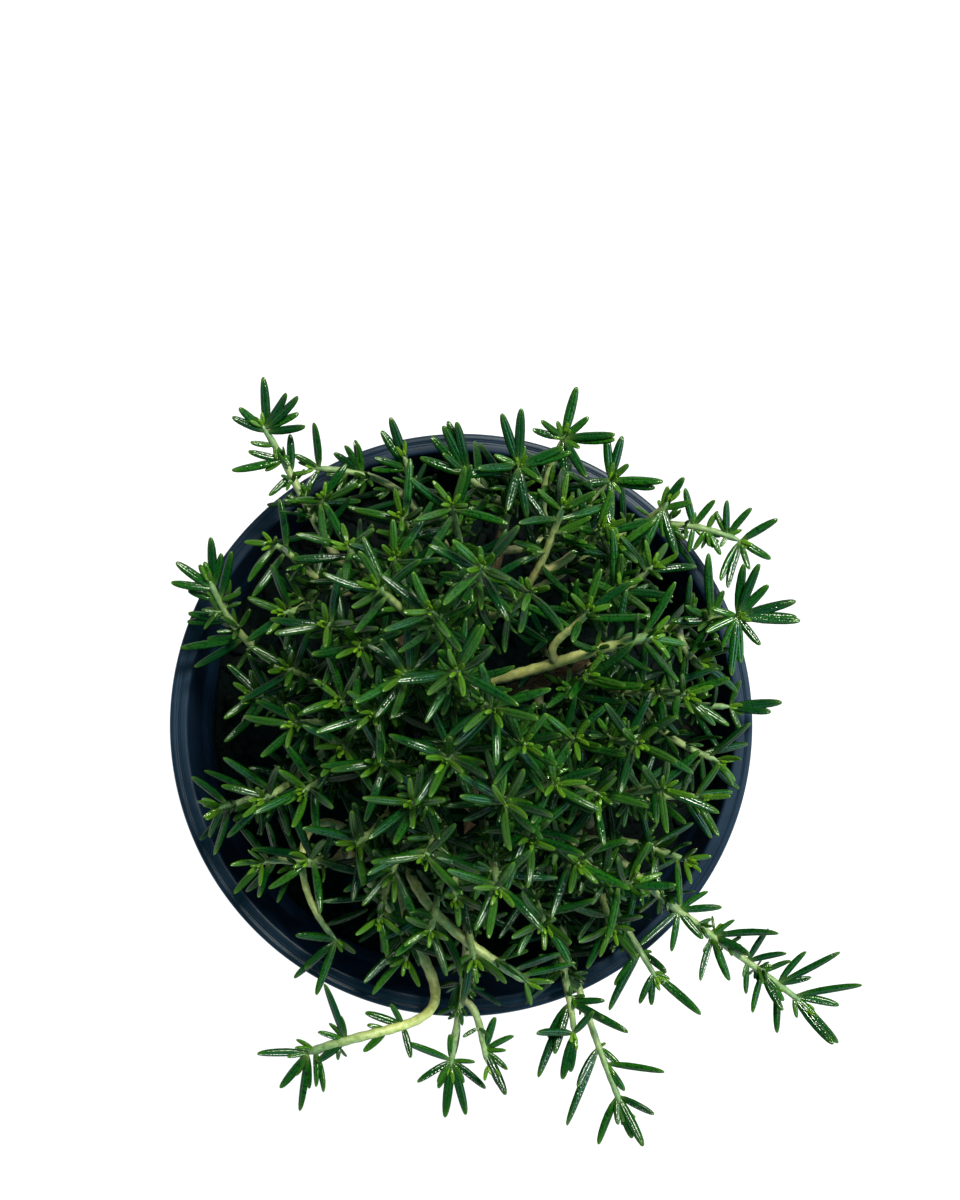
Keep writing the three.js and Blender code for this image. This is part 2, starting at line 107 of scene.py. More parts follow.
PHOTO_WIDTH, PHOTO_HEIGHT = 960, 1200
RIM_CENTRE_PX = (461.1, 725.2)  # where the pot's lip stands in the photograph
RIM_RADIUS_PX = 291.9
LENS = 60.0
SENSOR = 36.0
FOCAL_PX = LENS / SENSOR * PHOTO_HEIGHT
CAMERA_RISE = RIM_RADIUS * FOCAL_PX / RIM_RADIUS_PX  # of the camera over the lip, in mm
CAMERA_X = (PHOTO_WIDTH / 2 - RIM_CENTRE_PX[0]) * CAMERA_RISE / FOCAL_PX
CAMERA_Y = (RIM_CENTRE_PX[1] - PHOTO_HEIGHT / 2) * CAMERA_RISE / FOCAL_PX

# ---- The plant, as in the CAD source ----


def woody_stem(name, foot, top, shoots):
    """It stands in the soil at foot [x, y] and ends at top [x, y, z]."""
    return {"name": name, "foot": foot, "top": top, "shoots": shoots}


def shoot(along, tip, heading, climb, **more):
    """It leaves its stem at the fraction `along` of the stem's length and ends at tip [x, y, z], pointing
    at `heading` degrees from +X towards +Y and climbing at `climb` degrees. It may have more:
    `side`, a shoot that leaves it; `leaving`, the (heading, climb) at which it sets off, where that isn't
    towards its tip; `sweep`, how far it holds its first and last directions, in shares of the straight
    distance; `radii`, at its foot and its tip; `bare`, the share of it that carries no leaves; `shown`,
    the shares between which the photograph shows it with no leaf in front.
    """
    return {"along": along, "tip": tip, "heading": heading, "climb": climb, **more}


WOODY_STEMS = [
    woody_stem("centre", (-3, 5), (0, 18, 174), [
        shoot(1, (-7, 34, 213), 110, 76, side=shoot(0.35, (-21, 40, 198), 135, 60)),
        shoot(0.9, (6, 45, 217), 80, 74, side=shoot(0.4, (19, 39, 203), 40, 66)),
        shoot(0.8, (-14, 17, 204), 190, 74),
        shoot(0.95, (0, 19, 222), 300, 86),
        shoot(0.7, (9, 9, 214), 320, 78, side=shoot(0.4, (-3, -4, 208), 230, 74)),
        shoot(0.6, (-22, 7, 196), 200, 66),
        shoot(0.85, (51, 27, 188), 12, 22, bare=0.62, shown=(0.32, 0.62), radii=(1.5, 1.25),
              side=shoot(0.5, (34, 34, 190), 70, 55)),
    ]),
    woody_stem("middle", (5, -5), (9, -15, 166), [
        shoot(1, (12, -15, 210), 280, 84, side=shoot(0.4, (25, -11, 200), 350, 70)),
        shoot(0.9, (10, -38, 200), 268, 72, side=shoot(0.4, (19, -26, 194), 320, 70)),
        shoot(0.75, (-12, -16, 197), 185, 72, side=shoot(0.5, (-21, -6, 190), 160, 62)),
        shoot(0.65, (-9, -31, 192), 235, 66, side=shoot(0.5, (-1, -43, 184), 275, 62)),
        shoot(0.95, (17, 0, 206), 20, 76),
        shoot(0.8, (37, -15, 186), 345, 62, side=shoot(0.45, (31, 0, 188), 20, 66)),
    ]),
    woody_stem("west", (-13, 2), (-42, 5, 150), [
        shoot(1, (-58, 10, 158), 178, 42),
        shoot(0.9, (-70, 42, 154), 108, 32, sweep=(0.3, 0.75)),
        shoot(0.8, (-68, -22, 152), 192, 22, side=shoot(0.5, (-54, -18, 166), 200, 55)),
        shoot(0.7, (-45, 3, 174), 190, 68, side=shoot(0.45, (-47, 18, 168), 150, 56)),
        shoot(0.55, (-32, 10, 184), 160, 72, side=shoot(0.45, (-31, -3, 182), 230, 66)),
        shoot(0.62, (-42, -15, 176), 215, 60),
    ]),
    woody_stem("north_west", (-9, 13), (-33, 46, 148), [
        shoot(1, (-55, 85, 157), 122, 34, side=shoot(0.45, (-38, 65, 158), 110, 48)),
        shoot(0.9, (-52, 52, 160), 160, 48, side=shoot(0.4, (-48, 33, 168), 185, 56)),
        shoot(0.8, (-30, 51, 178), 115, 62, side=shoot(0.5, (-17, 48, 184), 70, 66)),
        shoot(0.65, (-35, 30, 188), 170, 66, side=shoot(0.55, (-26, 24, 192), 250, 72)),
    ]),
    woody_stem("north", (3, 17), (12, 56, 150), [
        shoot(1, (16, 73, 169), 80, 62, side=shoot(0.35, (2, 71, 161), 130, 50)),
        shoot(0.92, (42, 70, 154), 42, 36, side=shoot(0.4, (29, 82, 159), 66, 44)),
        shoot(0.84, (-42, 74, 142), 178, 4, leaving=(110, 20), sweep=(0.55, 0.6),
              side=shoot(0.55, (-16, 77, 150), 112, 40)),
        shoot(0.76, (28, 62, 176), 70, 44, bare=0.45, shown=(0.45, 0.9),
              side=shoot(0.5, (39, 56, 168), 30, 48)),
        shoot(0.66, (-16, 59, 172), 130, 58, side=shoot(0.4, (-2, 62, 178), 95, 68)),
        shoot(0.7, (79, 53, 149), 336, 8, sweep=(0.35, 0.6), side=shoot(0.66, (58, 64, 155), 60, 40)),
    ]),
    woody_stem("east", (14, 8), (46, 24, 152), [
        shoot(1, (75, 32, 174), 8, 54, side=shoot(0.45, (66, 19, 164), 335, 46)),
        shoot(0.92, (53, 46, 164), 48, 42, side=shoot(0.4, (43, 52, 168), 100, 56)),
        shoot(0.84, (61, 11, 178), 345, 58),
        shoot(0.76, (77, 6, 141), 0, 12, side=shoot(0.5, (73, -9, 149), 340, 24)),
        shoot(0.66, (43, 40, 178), 60, 62),
        shoot(0.55, (47, -1, 192), 350, 74, side=shoot(0.45, (34, 17, 186), 60, 68)),
    ]),
    woody_stem("south_east", (15, -7), (40, -32, 148), [
        shoot(1, (99, -80, 137), 322, 0),
        shoot(0.92, (54, -13, 188), 20, 68, side=shoot(0.35, (66, -18, 164), 345, 44)),
        shoot(0.84, (56, -72, 138), 300, 14, side=shoot(0.45, (42, -55, 159), 285, 54)),
        shoot(0.72, (47, -39, 174), 38, 36, side=shoot(0.5, (63, -36, 158), 340, 36)),
        shoot(0.62, (47, -111, 136), 292, -8, side=shoot(0.5, (32, -86, 148), 268, 52)),
        shoot(0.5, (23, -52, 170), 285, 62, side=shoot(0.5, (32, -34, 180), 330, 70)),
    ]),
    woody_stem("south", (3, -18), (2, -56, 142), [
        shoot(1, (-3, -98, 138), 262, 0, side=shoot(0.5, (8, -96, 144), 288, 14)),
        shoot(0.66, (-8, -53, 174), 250, 66, side=shoot(0.5, (4, -62, 166), 290, 54)),
    ]),
    woody_stem("south_west", (-11, -11), (-34, -36, 144), [
        shoot(1, (-42, -35, 166), 195, 58, side=shoot(0.4, (-56, -37, 156), 200, 36)),
        shoot(0.9, (-35, -60, 146), 314, -4, bare=0.8, shown=(0.6, 0.85), leaving=(158, 14),
              sweep=(0.76, 0.8)),
        shoot(0.8, (-22, -51, 165), 265, 60, side=shoot(0.5, (-15, -64, 157), 275, 46)),
        shoot(0.66, (-28, -29, 176), 190, 70, side=shoot(0.5, (-18, -37, 176), 260, 66)),
        shoot(0.97, (-43, -91, 150), 206, -25, bare=0.86, shown=(0.45, 0.86), leaving=(306, -18),
              sweep=(1.4, 0.7), radii=(1.55, 1.3)),
        shoot(0.55, (19, -70, 155), 328, -12, bare=0.8, shown=(0.45, 0.85), leaving=(302, 18),
              sweep=(0.24, 0.93), radii=(1.5, 1.2)),
    ]),
]
ROOTED_DEPTH = 16.0
WOODY_SIDES, WOODY_STEP = 14, 1.2  # points in each ring, and from ring to ring
WOODY_RADII = (2.5, 1.5)  # at the foot and at the top
WOODY_RISE = 0.6  # share of its height over which a woody stem first climbs straight
WOODY_LEAN = (0.55, 0.55, 0.85)  # shares of the way to its top where it turns to that
KNOT, RIDGE, FINE_RIDGE = 0.1, 0.05, 0.035  # in the bark, as shares of the radius
KNOT_WAVE, RIDGE_TWIST = 0.55, 0.3  # in radians per mm along the stem
RIDGES, FINE_RIDGES = 5, 9  # round the stem
BARK_SHIFT = 1.7  # from each woody stem to the next, so that no two are alike
SHOOT_SIDES, SHOOT_STEP = 10, 1.1
SHOOT_RADII = (1.25, 0.85)
BARE_PALENESS, LEAFY_PALENESS = 1.0, 0.3  # of a shoot's stem, from green to cream
SHOOT_SWEEP = (0.35, 0.4)
SWELLING_PITCH = 4.4  # of the faint swellings along a shoot
SWELLING = 0.06
SQUARENESS = 0.06
BLUNT_TIP = (0.35, 4.0)  # its share of the radius, and the length over which it thins to that

# ---- Leaf growth ----

BARE_FRACTION = 0.14
# From the tip inwards: distance to the pair, its leaves' length, width and angle from the shoot's axis.
BUD_PAIRS = [(-0.6, 2.4, 1.0, 10), (0.7, 4.4, 1.3, 24), (0.6, 8.0, 1.8, 40)]
YOUNG_PAIRS = [(0.9, 13.0, 2.3, 50), (1.4, 15.5, 2.5, 57), (2.4, 16.5, 2.5, 62)]
OLD_PAIR = (6.0, 15.5, 2.2, 66)
OLD_STEPS = (0.75, 1.25)  # shares of the old pairs' step
AGE_PAIRS = 4  # pairs from the tip to a full-grown one, and as many again to an old one
PAIR_TWIST = 0.15  # this and the next four are the spreads of chance, in radians or shares
LEAF_TWIST = 0.22
LEAF_TILT = 9.0  # in degrees
LEAF_BEND = 0.3
LEAF_SWAY = 0.07
LEAF_LENGTHS = (0.78, 1.12)  # shares of the pair's length
LEAF_FOOT = 0.4  # its distance from the middle of the stem
SMALL_LEAF = 6.0
TUFT_CHANCE = 0.85
OUTER_TUFT_CHANCE = 0.4  # of those, beyond the lip
TUFT_PAIRS = [1, 2, 3, 3, 4]
TUFT_SIZES = (5.0, 10.5)
OUTER_TUFT_SIZE = 5.1  # at most
TUFT_LEAN = (0.5, 1.2)  # how far it leans along the shoot
TUFT_SPIN = 0.6
TUFT_FOOT = 0.6
TUFT_STEP = 0.16  # a share of the tuft's size
TUFT_SHORTENING = 0.2  # of each further pair
TUFT_WIDTH = (0.6, 0.15)  # of a leaf: its least, and how much more per mm of length
TUFT_ANGLE, TUFT_CLOSING = 52, 11  # of the first pair, and how much less each further one stands off
TUFT_AGE = -0.3
BUD_STEM_RADII = (0.45, 0.25)
BUD_STEM_SIDES = 6
JOINT_ROOM = 5.0  # no other full-size pair this near to a joint that bears seen leaves
LEAF_TESTS = 7  # places along a leaf where it is tested
SHOWN_FROM = 0.3  # share of a leaf's length from which it may not hide a shown stem
SHOWN_STEP = 0.02  # from point to point of the stems' shown lines, as a share of their length
SHOWN_ROOM_PX = 8.0  # in the photograph, between a stem's shown line and the leaves over it
SEEN_JOINTS = (0.2, 1, 33)  # first and last share of a stem's length with such a joint, and how many
SEEN_RISE = (-0.05, 0.3)  # of a seen leaf's tip over its foot, as a share of its length
SEEN_WIDTH = (1.0, 0.14, 2.8)  # its least, how much more per mm of length, and its most
SEEN_BEND = (0.1, 0.12)  # mean and spread
SEEN_YOUTH, FULL_LENGTH = 0.9, 12.0  # a seen leaf is the younger, the shorter it is
WALL_ROOM = 1.5  # between the leaves and the pot's wall, whose inside slopes
WALL_SLOPE = 0.16
LIGHT_SEEKING = 1.3
CANOPY_HEIGHT = 190.0  # of the plant's domed outside, over its middle
CANOPY_FALL = 0.0075  # how fast the dome falls, per mm squared
CANOPY_DEPTH = 36.0  # how far below that the leaves get their deepest painted shade
OLD_LEAF_SHADE = 0.45
SEED = 20

chance = random.Random(SEED)

# ---- Leaves that stand out in the photograph ----
# For each shoot, rows that start with a joint and go on with the tips of the leaves that it bears, all
# in photo pixels.

SEEN_LEAVES = {
    "shoot_north_west_1": [
        [(266, 430), (264, 377), (238, 408), (232, 417), (254, 417), (306, 427)],
        [(272, 424), (299, 413), (302, 398), (290, 394), (286, 397)],
        [(268, 447), (290, 466), (276, 459), (250, 443)],
        [(275, 463), (248, 452), (232, 472), (265, 471)],
        [(296, 473), (290, 434), (309, 472), (269, 496)],
    ],
    "shoot_north_3": [
        [(318, 475), (294, 455), (315, 422), (315, 445), (300, 500)],
        [(362, 479), (334, 452), (346, 444), (353, 440), (359, 442), (335, 496)],
        [(412, 467), (390, 417), (381, 431), (374, 458), (372, 470)],
    ],
    "shoot_north_1": [
        [(457, 462), (443, 425), (448, 421), (457, 421), (431, 437), (442, 453), (420, 458)],
        [(518, 466), (521, 407), (501, 413), (494, 455), (476, 470), (459, 477), (564, 448),
         (571, 453), (540, 480), (527, 518), (507, 512), (525, 446)],
    ],
    "shoot_north_2": [
        [(571, 440), (576, 387), (557, 421), (589, 417), (615, 434), (616, 443), (540, 421),
         (553, 437), (531, 432), (586, 480), (565, 486), (580, 449)],
        [(612, 482), (663, 480), (655, 489), (622, 436), (629, 464), (607, 432), (613, 462),
         (580, 483), (560, 491), (611, 522), (621, 493)],
    ],
    "shoot_north_6": [
        [(667, 513), (658, 500), (668, 486), (684, 477), (692, 502), (663, 537), (640, 555), (677, 556)],
        [(693, 522), (686, 488), (714, 499), (695, 512), (689, 552), (706, 538)],
        [(710, 529), (718, 511), (713, 514), (709, 546), (694, 550), (722, 554)],
        [(727, 536), (725, 500), (751, 507), (720, 547), (742, 530), (716, 512)],
        [(741, 541), (778, 519), (771, 559), (716, 580), (724, 588), (749, 570), (731, 577)],
    ],
    "shoot_east_1": [
        [(741, 614), (796, 601), (797, 617), (800, 621), (768, 584), (758, 562), (742, 563),
         (759, 646), (711, 608), (704, 632), (731, 676), (740, 663), (722, 647), (757, 613)],
        [(712, 613), (706, 552), (671, 621), (685, 606), (693, 654), (723, 590)],
    ],
    "shoot_east_4": [
        [(752, 706), (782, 702), (771, 712), (740, 680), (741, 733)],
    ],
    "shoot_south_east_1": [
        [(684, 905), (722, 907), (706, 888), (703, 939), (674, 952), (640, 945)],
        [(716, 936), (778, 925), (733, 917), (721, 923), (696, 980), (728, 981), (752, 953)],
        [(752, 957), (767, 927), (786, 950), (743, 977), (746, 994)],
        [(769, 967), (750, 1012), (781, 1012), (784, 1001), (790, 959)],
        [(787, 976), (803, 948), (842, 955), (777, 1033), (783, 992), (812, 979)],
        [(801, 991), (862, 983), (839, 1003), (838, 1043), (831, 1046), (817, 1017), (797, 1018)],
    ],
    "shoot_south_east_3": [
        [(632, 958), (668, 971), (605, 1008), (652, 952), (614, 985)],
        [(645, 977), (701, 1014), (670, 979), (665, 973), (640, 1004), (651, 1005)],
    ],
    "shoot_south_east_5": [
        [(573, 1003), (628, 1033), (605, 1018), (605, 1000), (547, 1037), (535, 1076), (553, 1054)],
        [(571, 1033), (534, 1029), (562, 1079), (571, 1073), (572, 1049), (594, 1012)],
        [(592, 1052), (621, 1066), (606, 1043), (574, 1086), (565, 1125)],
        [(600, 1066), (665, 1071), (624, 1092), (615, 1074)],
        [(612, 1095), (654, 1115), (595, 1142), (616, 1125), (623, 1122), (632, 1138), (644, 1146)],
    ],
    "shoot_south_1": [
        [(451, 1060), (404, 1042), (417, 1082), (437, 1083), (438, 1088), (445, 1117), (467, 1114),
         (464, 1083), (475, 1063), (486, 1088), (458, 1020), (450, 1034)],
        [(486, 1050), (508, 1069), (506, 1095), (501, 1086), (506, 1051), (494, 1015), (513, 1033),
         (496, 1070)],
    ],
    "shoot_south_west_2": [
        [(330, 950), (294, 978), (316, 995), (303, 968), (295, 933), (356, 953)],
    ],
    "shoot_south_west_5": [
        [(399, 1028), (411, 1058), (365, 1013), (391, 1003), (384, 1017)],
        [(384, 1030), (364, 1052), (367, 1025)],
        [(345, 1032), (325, 983), (342, 1014), (331, 1021), (318, 1031), (317, 1062)],
        [(312, 1049), (297, 1038), (295, 1046), (332, 1043), (329, 1091), (318, 1087)],
        [(305, 1056), (257, 1052), (287, 1056), (280, 1088), (296, 1076), (300, 1111), (308, 1089)],
    ],
    "shoot_west_2": [
        [(220, 583), (176, 562), (211, 537), (204, 562), (199, 564), (171, 583), (222, 553)],
        [(228, 597), (233, 551), (188, 591), (205, 590), (242, 593)],
        [(235, 615), (188, 612), (186, 620), (212, 620)],
        [(234, 645), (180, 648), (195, 668), (207, 638)],
    ],
}

# ---- Small vector helpers ----


def size_of(vector):
    return np.linalg.norm(vector)


def unit(vector):
    return vector / size_of(vector)


def turned(vector, axis, angle):
    """The vector turned about a unit axis, by the right-hand rule."""
    return (
        vector * math.cos(angle)
        + np.cross(axis, vector) * math.sin(angle)
        + axis * axis.dot(vector) * (1 - math.cos(angle))
    )


def pointing(heading, climb):
    turn, lift = math.radians(heading), math.radians(climb)
    level = math.cos(lift)
    return np.array([level * math.cos(turn), level * math.sin(turn), math.sin(lift)])


def mixed(start, end, share):
    return start + (end - start) * share


def level_side(axis, nudge=(1e-4, 0, 0)):
    """A level direction across an axis; the nudge settles it where the axis points straight up."""
    return unit(np.cross(axis, UP) + np.array(nudge))


def turns_of(sides):
    """The angles, in radians, of points spread evenly round a circle."""
    return 2 * math.pi * np.arange(sides) / sides


def circle(turns, across, other):
    """Points at these angles on the unit circle that two directions span."""
    return np.cos(turns)[:, None] * across + np.sin(turns)[:, None] * other


def seen_pixel(point):
    """Where the photograph shows a point that is given in mm."""
    scale = FOCAL_PX / (POT_HEIGHT + CAMERA_RISE - point[2])
    return np.array([
        PHOTO_WIDTH / 2 + (point[0] - CAMERA_X) * scale,
        PHOTO_HEIGHT / 2 - (point[1] - CAMERA_Y) * scale,
    ])


def seen_point(pixel, height):
    """The point at a height, in mm, that the photograph shows at a pixel."""
    scale = (POT_HEIGHT + CAMERA_RISE - height) / FOCAL_PX
    return np.array([
        CAMERA_X + (pixel[0] - PHOTO_WIDTH / 2) * scale,
        CAMERA_Y - (pixel[1] - PHOTO_HEIGHT / 2) * scale,
        height,
    ])


# ---- Stem routes, in mm ----

ROUTE_STEPS = 96
SLOPE_STEP = 0.02  # of a route's length, to each side of where its direction is taken


class Route:
    """A smooth stem line that is measured along its own length."""

    def __init__(self, start, leaving, arriving, end):
        share = np.linspace(0, 1, ROUTE_STEPS + 1)[:, None]
        rest = 1 - share
        first_half = rest**3 * start + 3 * rest**2 * share * leaving
        self.points = first_half + 3 * rest * share**2 * arriving + share**3 * end
        runs = np.linalg.norm(np.diff(self.points, axis=0), axis=1)
        self.marks = np.concatenate([[0.0], np.cumsum(runs)])
        self.length = self.marks[-1]

    def at(self, distance):
        return np.array([np.interp(distance, self.marks, self.points[:, k]) for k in range(3)])

    def direction(self, distance):
        step = SLOPE_STEP * self.length
        middle = min(max(distance, step), self.length - step)
        return unit(self.at(middle + step) - self.at(middle - step))


def woody_route(stem):
    foot_x, foot_y = stem["foot"]
    bottom = SOIL_MIDDLE_HEIGHT - ROOTED_DEPTH
    end = np.array(stem["top"], float)
    start = np.array([foot_x, foot_y, bottom])
    rise = np.array([foot_x, foot_y, mixed(bottom, end[2], WOODY_RISE)])
    lean = mixed(start, end, np.array(WOODY_LEAN))
    return Route(start, rise, lean, end)


def shoot_route(parent, entry):
    """A shoot goes straight on from its parent's end, or leaves its parent at a right angle, on the side
    where its tip is or where it sets off.
    """
    end = np.array(entry["tip"], float)
    start = parent.at(entry["along"] * parent.length)
    grain = parent.direction(entry["along"] * parent.length)
    outward = grain
    if entry["along"] < 1:
        wanted = pointing(*entry["leaving"]) if "leaving" in entry else end - start
        outward = unit(wanted - grain * grain.dot(wanted))
    reach = size_of(end - start)
    first_sweep, last_sweep = entry.get("sweep", SHOOT_SWEEP)
    leaving = start + outward * first_sweep * reach
    arriving = end - pointing(entry["heading"], entry["climb"]) * last_sweep * reach
    return Route(start, leaving, arriving, end)


# ---- Meshes made of closed strips ----

UV_MARGIN = 0.04  # round each strip, as a share of its cell


class Strips:
    """Collects closed tubes of rings, such as leaves and stems, and makes one mesh of them.

    Each strip gets a cell of its own in the UV map, with the ring around it and its length up it. A corner
    is a place around and up its strip: up is -1 for the base and one more than the last ring's for the tip.
    """

    def __init__(self):
        self.strips = []

    def add(self, rings, base, tip, **marks):
        """rings is an array [ring, point, xyz]; base and tip close the ends; marks are per point."""
        self.strips.append((np.asarray(rings), np.asarray(base), np.asarray(tip), marks))

    def build(self, name, material):
        columns = math.ceil(math.sqrt(len(self.strips)))
        vertices, faces, uvs = [], [], []
        marks = {key: [] for key in self.strips[0][3]}
        first = 0
        for index, (rings, base, tip, own_marks) in enumerate(self.strips):
            count, sides = rings.shape[:2]
            vertices += [rings.reshape(-1, 3), base[None, :], tip[None, :]]
            for key, values in own_marks.items():
                full = np.broadcast_to(values, (count, sides))
                marks[key].append(np.concatenate([full.ravel(), [full[0].mean(), full[-1].mean()]]))
            column, row = index % columns, index // columns

            def vertex(around, up):
                if 0 <= up < count:
                    return first + up * sides + around % sides
                return first + count * sides + (up == count)

            def place(around, up):
                inner = 1 - 2 * UV_MARGIN
                return (
                    (column + UV_MARGIN + inner * around / sides) / columns,
                    (row + UV_MARGIN + inner * (up + 1) / (count + 1)) / columns,
                )

            def add_face(*corners):
                faces.append([vertex(*corner) for corner in corners])
                uvs.extend(place(*corner) for corner in corners)

            for ring in range(count - 1):
                for side in range(sides):
                    add_face((side, ring), (side + 1, ring), (side + 1, ring + 1), (side, ring + 1))
            for side in range(sides):
                add_face((side + 1, 0), (side, 0), (side + 0.5, -1))
                add_face((side, count - 1), (side + 1, count - 1), (side + 0.5, count))
            first += count * sides + 2
        mesh = bpy.data.meshes.new(name)
        mesh.from_pydata((np.concatenate(vertices) * MM).tolist(), [], faces)
        layer = mesh.uv_layers.new(name="OFBake")
        layer.data.foreach_set("uv", np.array(uvs, dtype=np.float32).ravel())
        for key, values in marks.items():
            attribute = mesh.attributes.new(key, "FLOAT", "POINT")
            attribute.data.foreach_set("value", np.concatenate(values).astype(np.float32))
        mesh.shade_smooth()
        mesh.materials.append(material)
        return add_object(name, mesh)


def add_object(name, data):
    made = bpy.data.objects.new(name, data)
    bpy.context.scene.collection.objects.link(made)
    return made


def keep(piece, slot, *nodes):
    """Makes a piece ride on the plant's one body, and hides the CAD nodes it stands for."""
    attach(piece, BODY)
    if nodes:
        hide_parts(*nodes)


# ---- Leaves ----

# A leaf's outline from base to tip: [share of length, share of half-width].
LEAF_OUTLINE = [(0.0, 0.36), (0.07, 0.5), (0.2, 0.82), (0.4, 1.0), (0.6, 0.98), (0.78, 0.86),
                (0.9, 0.66), (0.965, 0.44), (0.993, 0.22)]
# Its section, in half-widths, from the left margin over the domed and grooved top and back under the
# rolled margins: [across, up].
LEAF_SECTION = [(-1.0, -0.34), (-0.84, 0.06), (-0.5, 0.34), (-0.14, 0.42), (-0.06, 0.34), (0.0, 0.16),
                (0.06, 0.34), (0.14, 0.42), (0.5, 0.34), (0.84, 0.06), (1.0, -0.34), (0.56, -0.44),
                (0.0, -0.2), (-0.56, -0.44)]
UNDERSIDE = np.array([0] * 11 + [0.3, 1.0, 0.3])
LEAST_BEND = 0.02
leaf_shares, leaf_widths = np.array(LEAF_OUTLINE).T
section_across, section_up = np.array(LEAF_SECTION).T


def add_leaf(strips, base, direction, top_side, length, width, bend, sway, age):
    """One leaf: it curls towards its top side by bend, in radians over its length, and its tip sways
    sideways by a share of its length. Its age runs from -1 for a bud's to 1 for an old one.
    """
    across = unit(np.cross(direction, top_side))
    top = np.cross(across, direction)
    bend = bend if abs(bend) > LEAST_BEND else LEAST_BEND
    angles = bend * leaf_shares
    spine = (
        base
        + length * (np.sin(angles) / bend)[:, None] * direction
        + length * ((1 - np.cos(angles)) / bend)[:, None] * top
        + length * sway * (leaf_shares**2)[:, None] * across
    )
    up = np.cos(angles)[:, None] * top - np.sin(angles)[:, None] * direction
    half = 0.5 * width * leaf_widths
    rings = (
        spine[:, None, :]
        + (half[:, None] * section_across)[:, :, None] * across
        + (half[:, None] * section_up)[:, :, None] * up[:, None, :]
    )
    tip = base + length * (
        math.sin(bend) / bend * direction + (1 - math.cos(bend)) / bend * top + sway * across
    )
    strips.add(
        rings, base, tip,
        along=leaf_shares[:, None],
        across=section_across,
        under=UNDERSIDE,
        youth=max(0.0, -age),
        tone=chance.random(),
        # painted shade: the deeper a leaf sits below the plant's outside, the darker it is; old leaves are
        # darker as well, as their own tone
        dark=1 - openness(base) * (1 - OLD_LEAF_SHADE * max(0.0, age)),
    )


def openness(place):
    """How open to the light a place is, from 0 deep in the plant to 1 on its outside."""
    outside = CANOPY_HEIGHT - CANOPY_FALL * (place[0] ** 2 + place[1] ** 2)
    return min(1.0, max(0.0, 1 - (outside - place[2]) / CANOPY_DEPTH))


def clear_of_pot(start, end, radius):
    """Whether a leaf stays off the pot's wall and lip and out of the soil."""
    for share in np.linspace(0, 1, LEAF_TESTS):
        point = mixed(start, end, share)
        distance = math.hypot(point[0], point[1])
        if point[2] - radius > POT_HEIGHT or distance > RIM_RADIUS + radius:
            continue
        wall = LIP_INNER_RADIUS - WALL_SLOPE * (POT_HEIGHT - point[2])
        if distance + radius > wall - WALL_ROOM:
            return False
        if point[2] - radius < SOIL_MIDDLE_HEIGHT:
            return False
    return True


def shown_stem_points():
    """Points down the middle of the stems that the photograph shows, where it shows them."""
    points = []
    for stem in WOODY_STEMS:
        wood = woody_route(stem)
        for entry in stem["shoots"]:
            if "shown" in entry:
                route = shoot_route(wood, entry)
                for share in np.arange(*entry["shown"], SHOWN_STEP):
                    points.append(route.at(share * route.length))
    return points


shown_points = shown_stem_points()
shown_pixels = np.array([seen_pixel(point) for point in shown_points])
shown_heights = np.array([point[2] for point in shown_points])


def hides_shown_stem(start, end):
    """Whether the photograph would show a leaf, apart from its foot, in front of a shown stem."""
    for share in np.linspace(SHOWN_FROM, 1, LEAF_TESTS):
        point = mixed(start, end, share)
        gaps = np.linalg.norm(shown_pixels - seen_pixel(point), axis=1)
        if np.any((gaps < SHOWN_ROOM_PX) & (shown_heights < point[2])):
            return True
    return False


def beyond_lip(point):
    """Whether the photograph would show a point on the white beyond the pot's lip."""
    return size_of(seen_pixel(point) - np.array(RIM_CENTRE_PX)) > RIM_RADIUS_PX


def lit_side(direction, axis):
    """The side of a leaf that its groove is on: towards the shoot's tip, turned to the light."""
    top_side = axis - direction * direction.dot(axis)
    light_side = UP - direction * direction.dot(UP)
    return unit(top_side + LIGHT_SEEKING * light_side)


def grow_leaf(strips, base, axis, outward, length, width, degrees, age):
    angle = math.radians(degrees + chance.gauss(0, LEAF_TILT))
    outward = turned(outward, axis, chance.gauss(0, LEAF_TWIST))
    direction = axis * math.cos(angle) + outward * math.sin(angle)
    length *= chance.uniform(*LEAF_LENGTHS)
    bend = chance.gauss(0, LEAF_BEND)
    sway = chance.gauss(0, LEAF_SWAY)
    tip = base + direction * length
    stands_out = length > SMALL_LEAF and beyond_lip(tip)
    if clear_of_pot(base, tip, 0.5 * width) and not stands_out and not hides_shown_stem(base, tip):
        add_leaf(strips, base, direction, lit_side(direction, axis), length, width, bend, sway, age)


def grow_tuft(leaves, stems, base, axis, outward):
    """A short side bud in a leaf's axil: one to four pairs of small young leaves on a thin stem."""
    bud_axis = unit(axis * chance.uniform(*TUFT_LEAN) + outward)
    sideways = turned(unit(np.cross(bud_axis, outward)), bud_axis, chance.uniform(-TUFT_SPIN, TUFT_SPIN))
    pairs = chance.choice(TUFT_PAIRS)
    size = chance.uniform(*TUFT_SIZES)
    if beyond_lip(base + bud_axis * size):
        if chance.random() > OUTER_TUFT_CHANCE:
            return
        size = min(size, OUTER_TUFT_SIZE)
    step = TUFT_STEP * size
    if not clear_of_pot(base, base + bud_axis * size, 1.0):
        return
    add_bud_stem(stems, base, bud_axis, TUFT_FOOT + step * pairs)
    for pair in range(pairs):
        length = size * (1 - TUFT_SHORTENING * pair)
        width = TUFT_WIDTH[0] + TUFT_WIDTH[1] * length
        degrees = TUFT_ANGLE - TUFT_CLOSING * pair
        start = base + bud_axis * (TUFT_FOOT + step * pair)
        for half in (0, math.pi):
            away = turned(sideways, bud_axis, pair * math.pi / 2 + half)
            grow_leaf(leaves, start, bud_axis, away, length, width, degrees, TUFT_AGE)


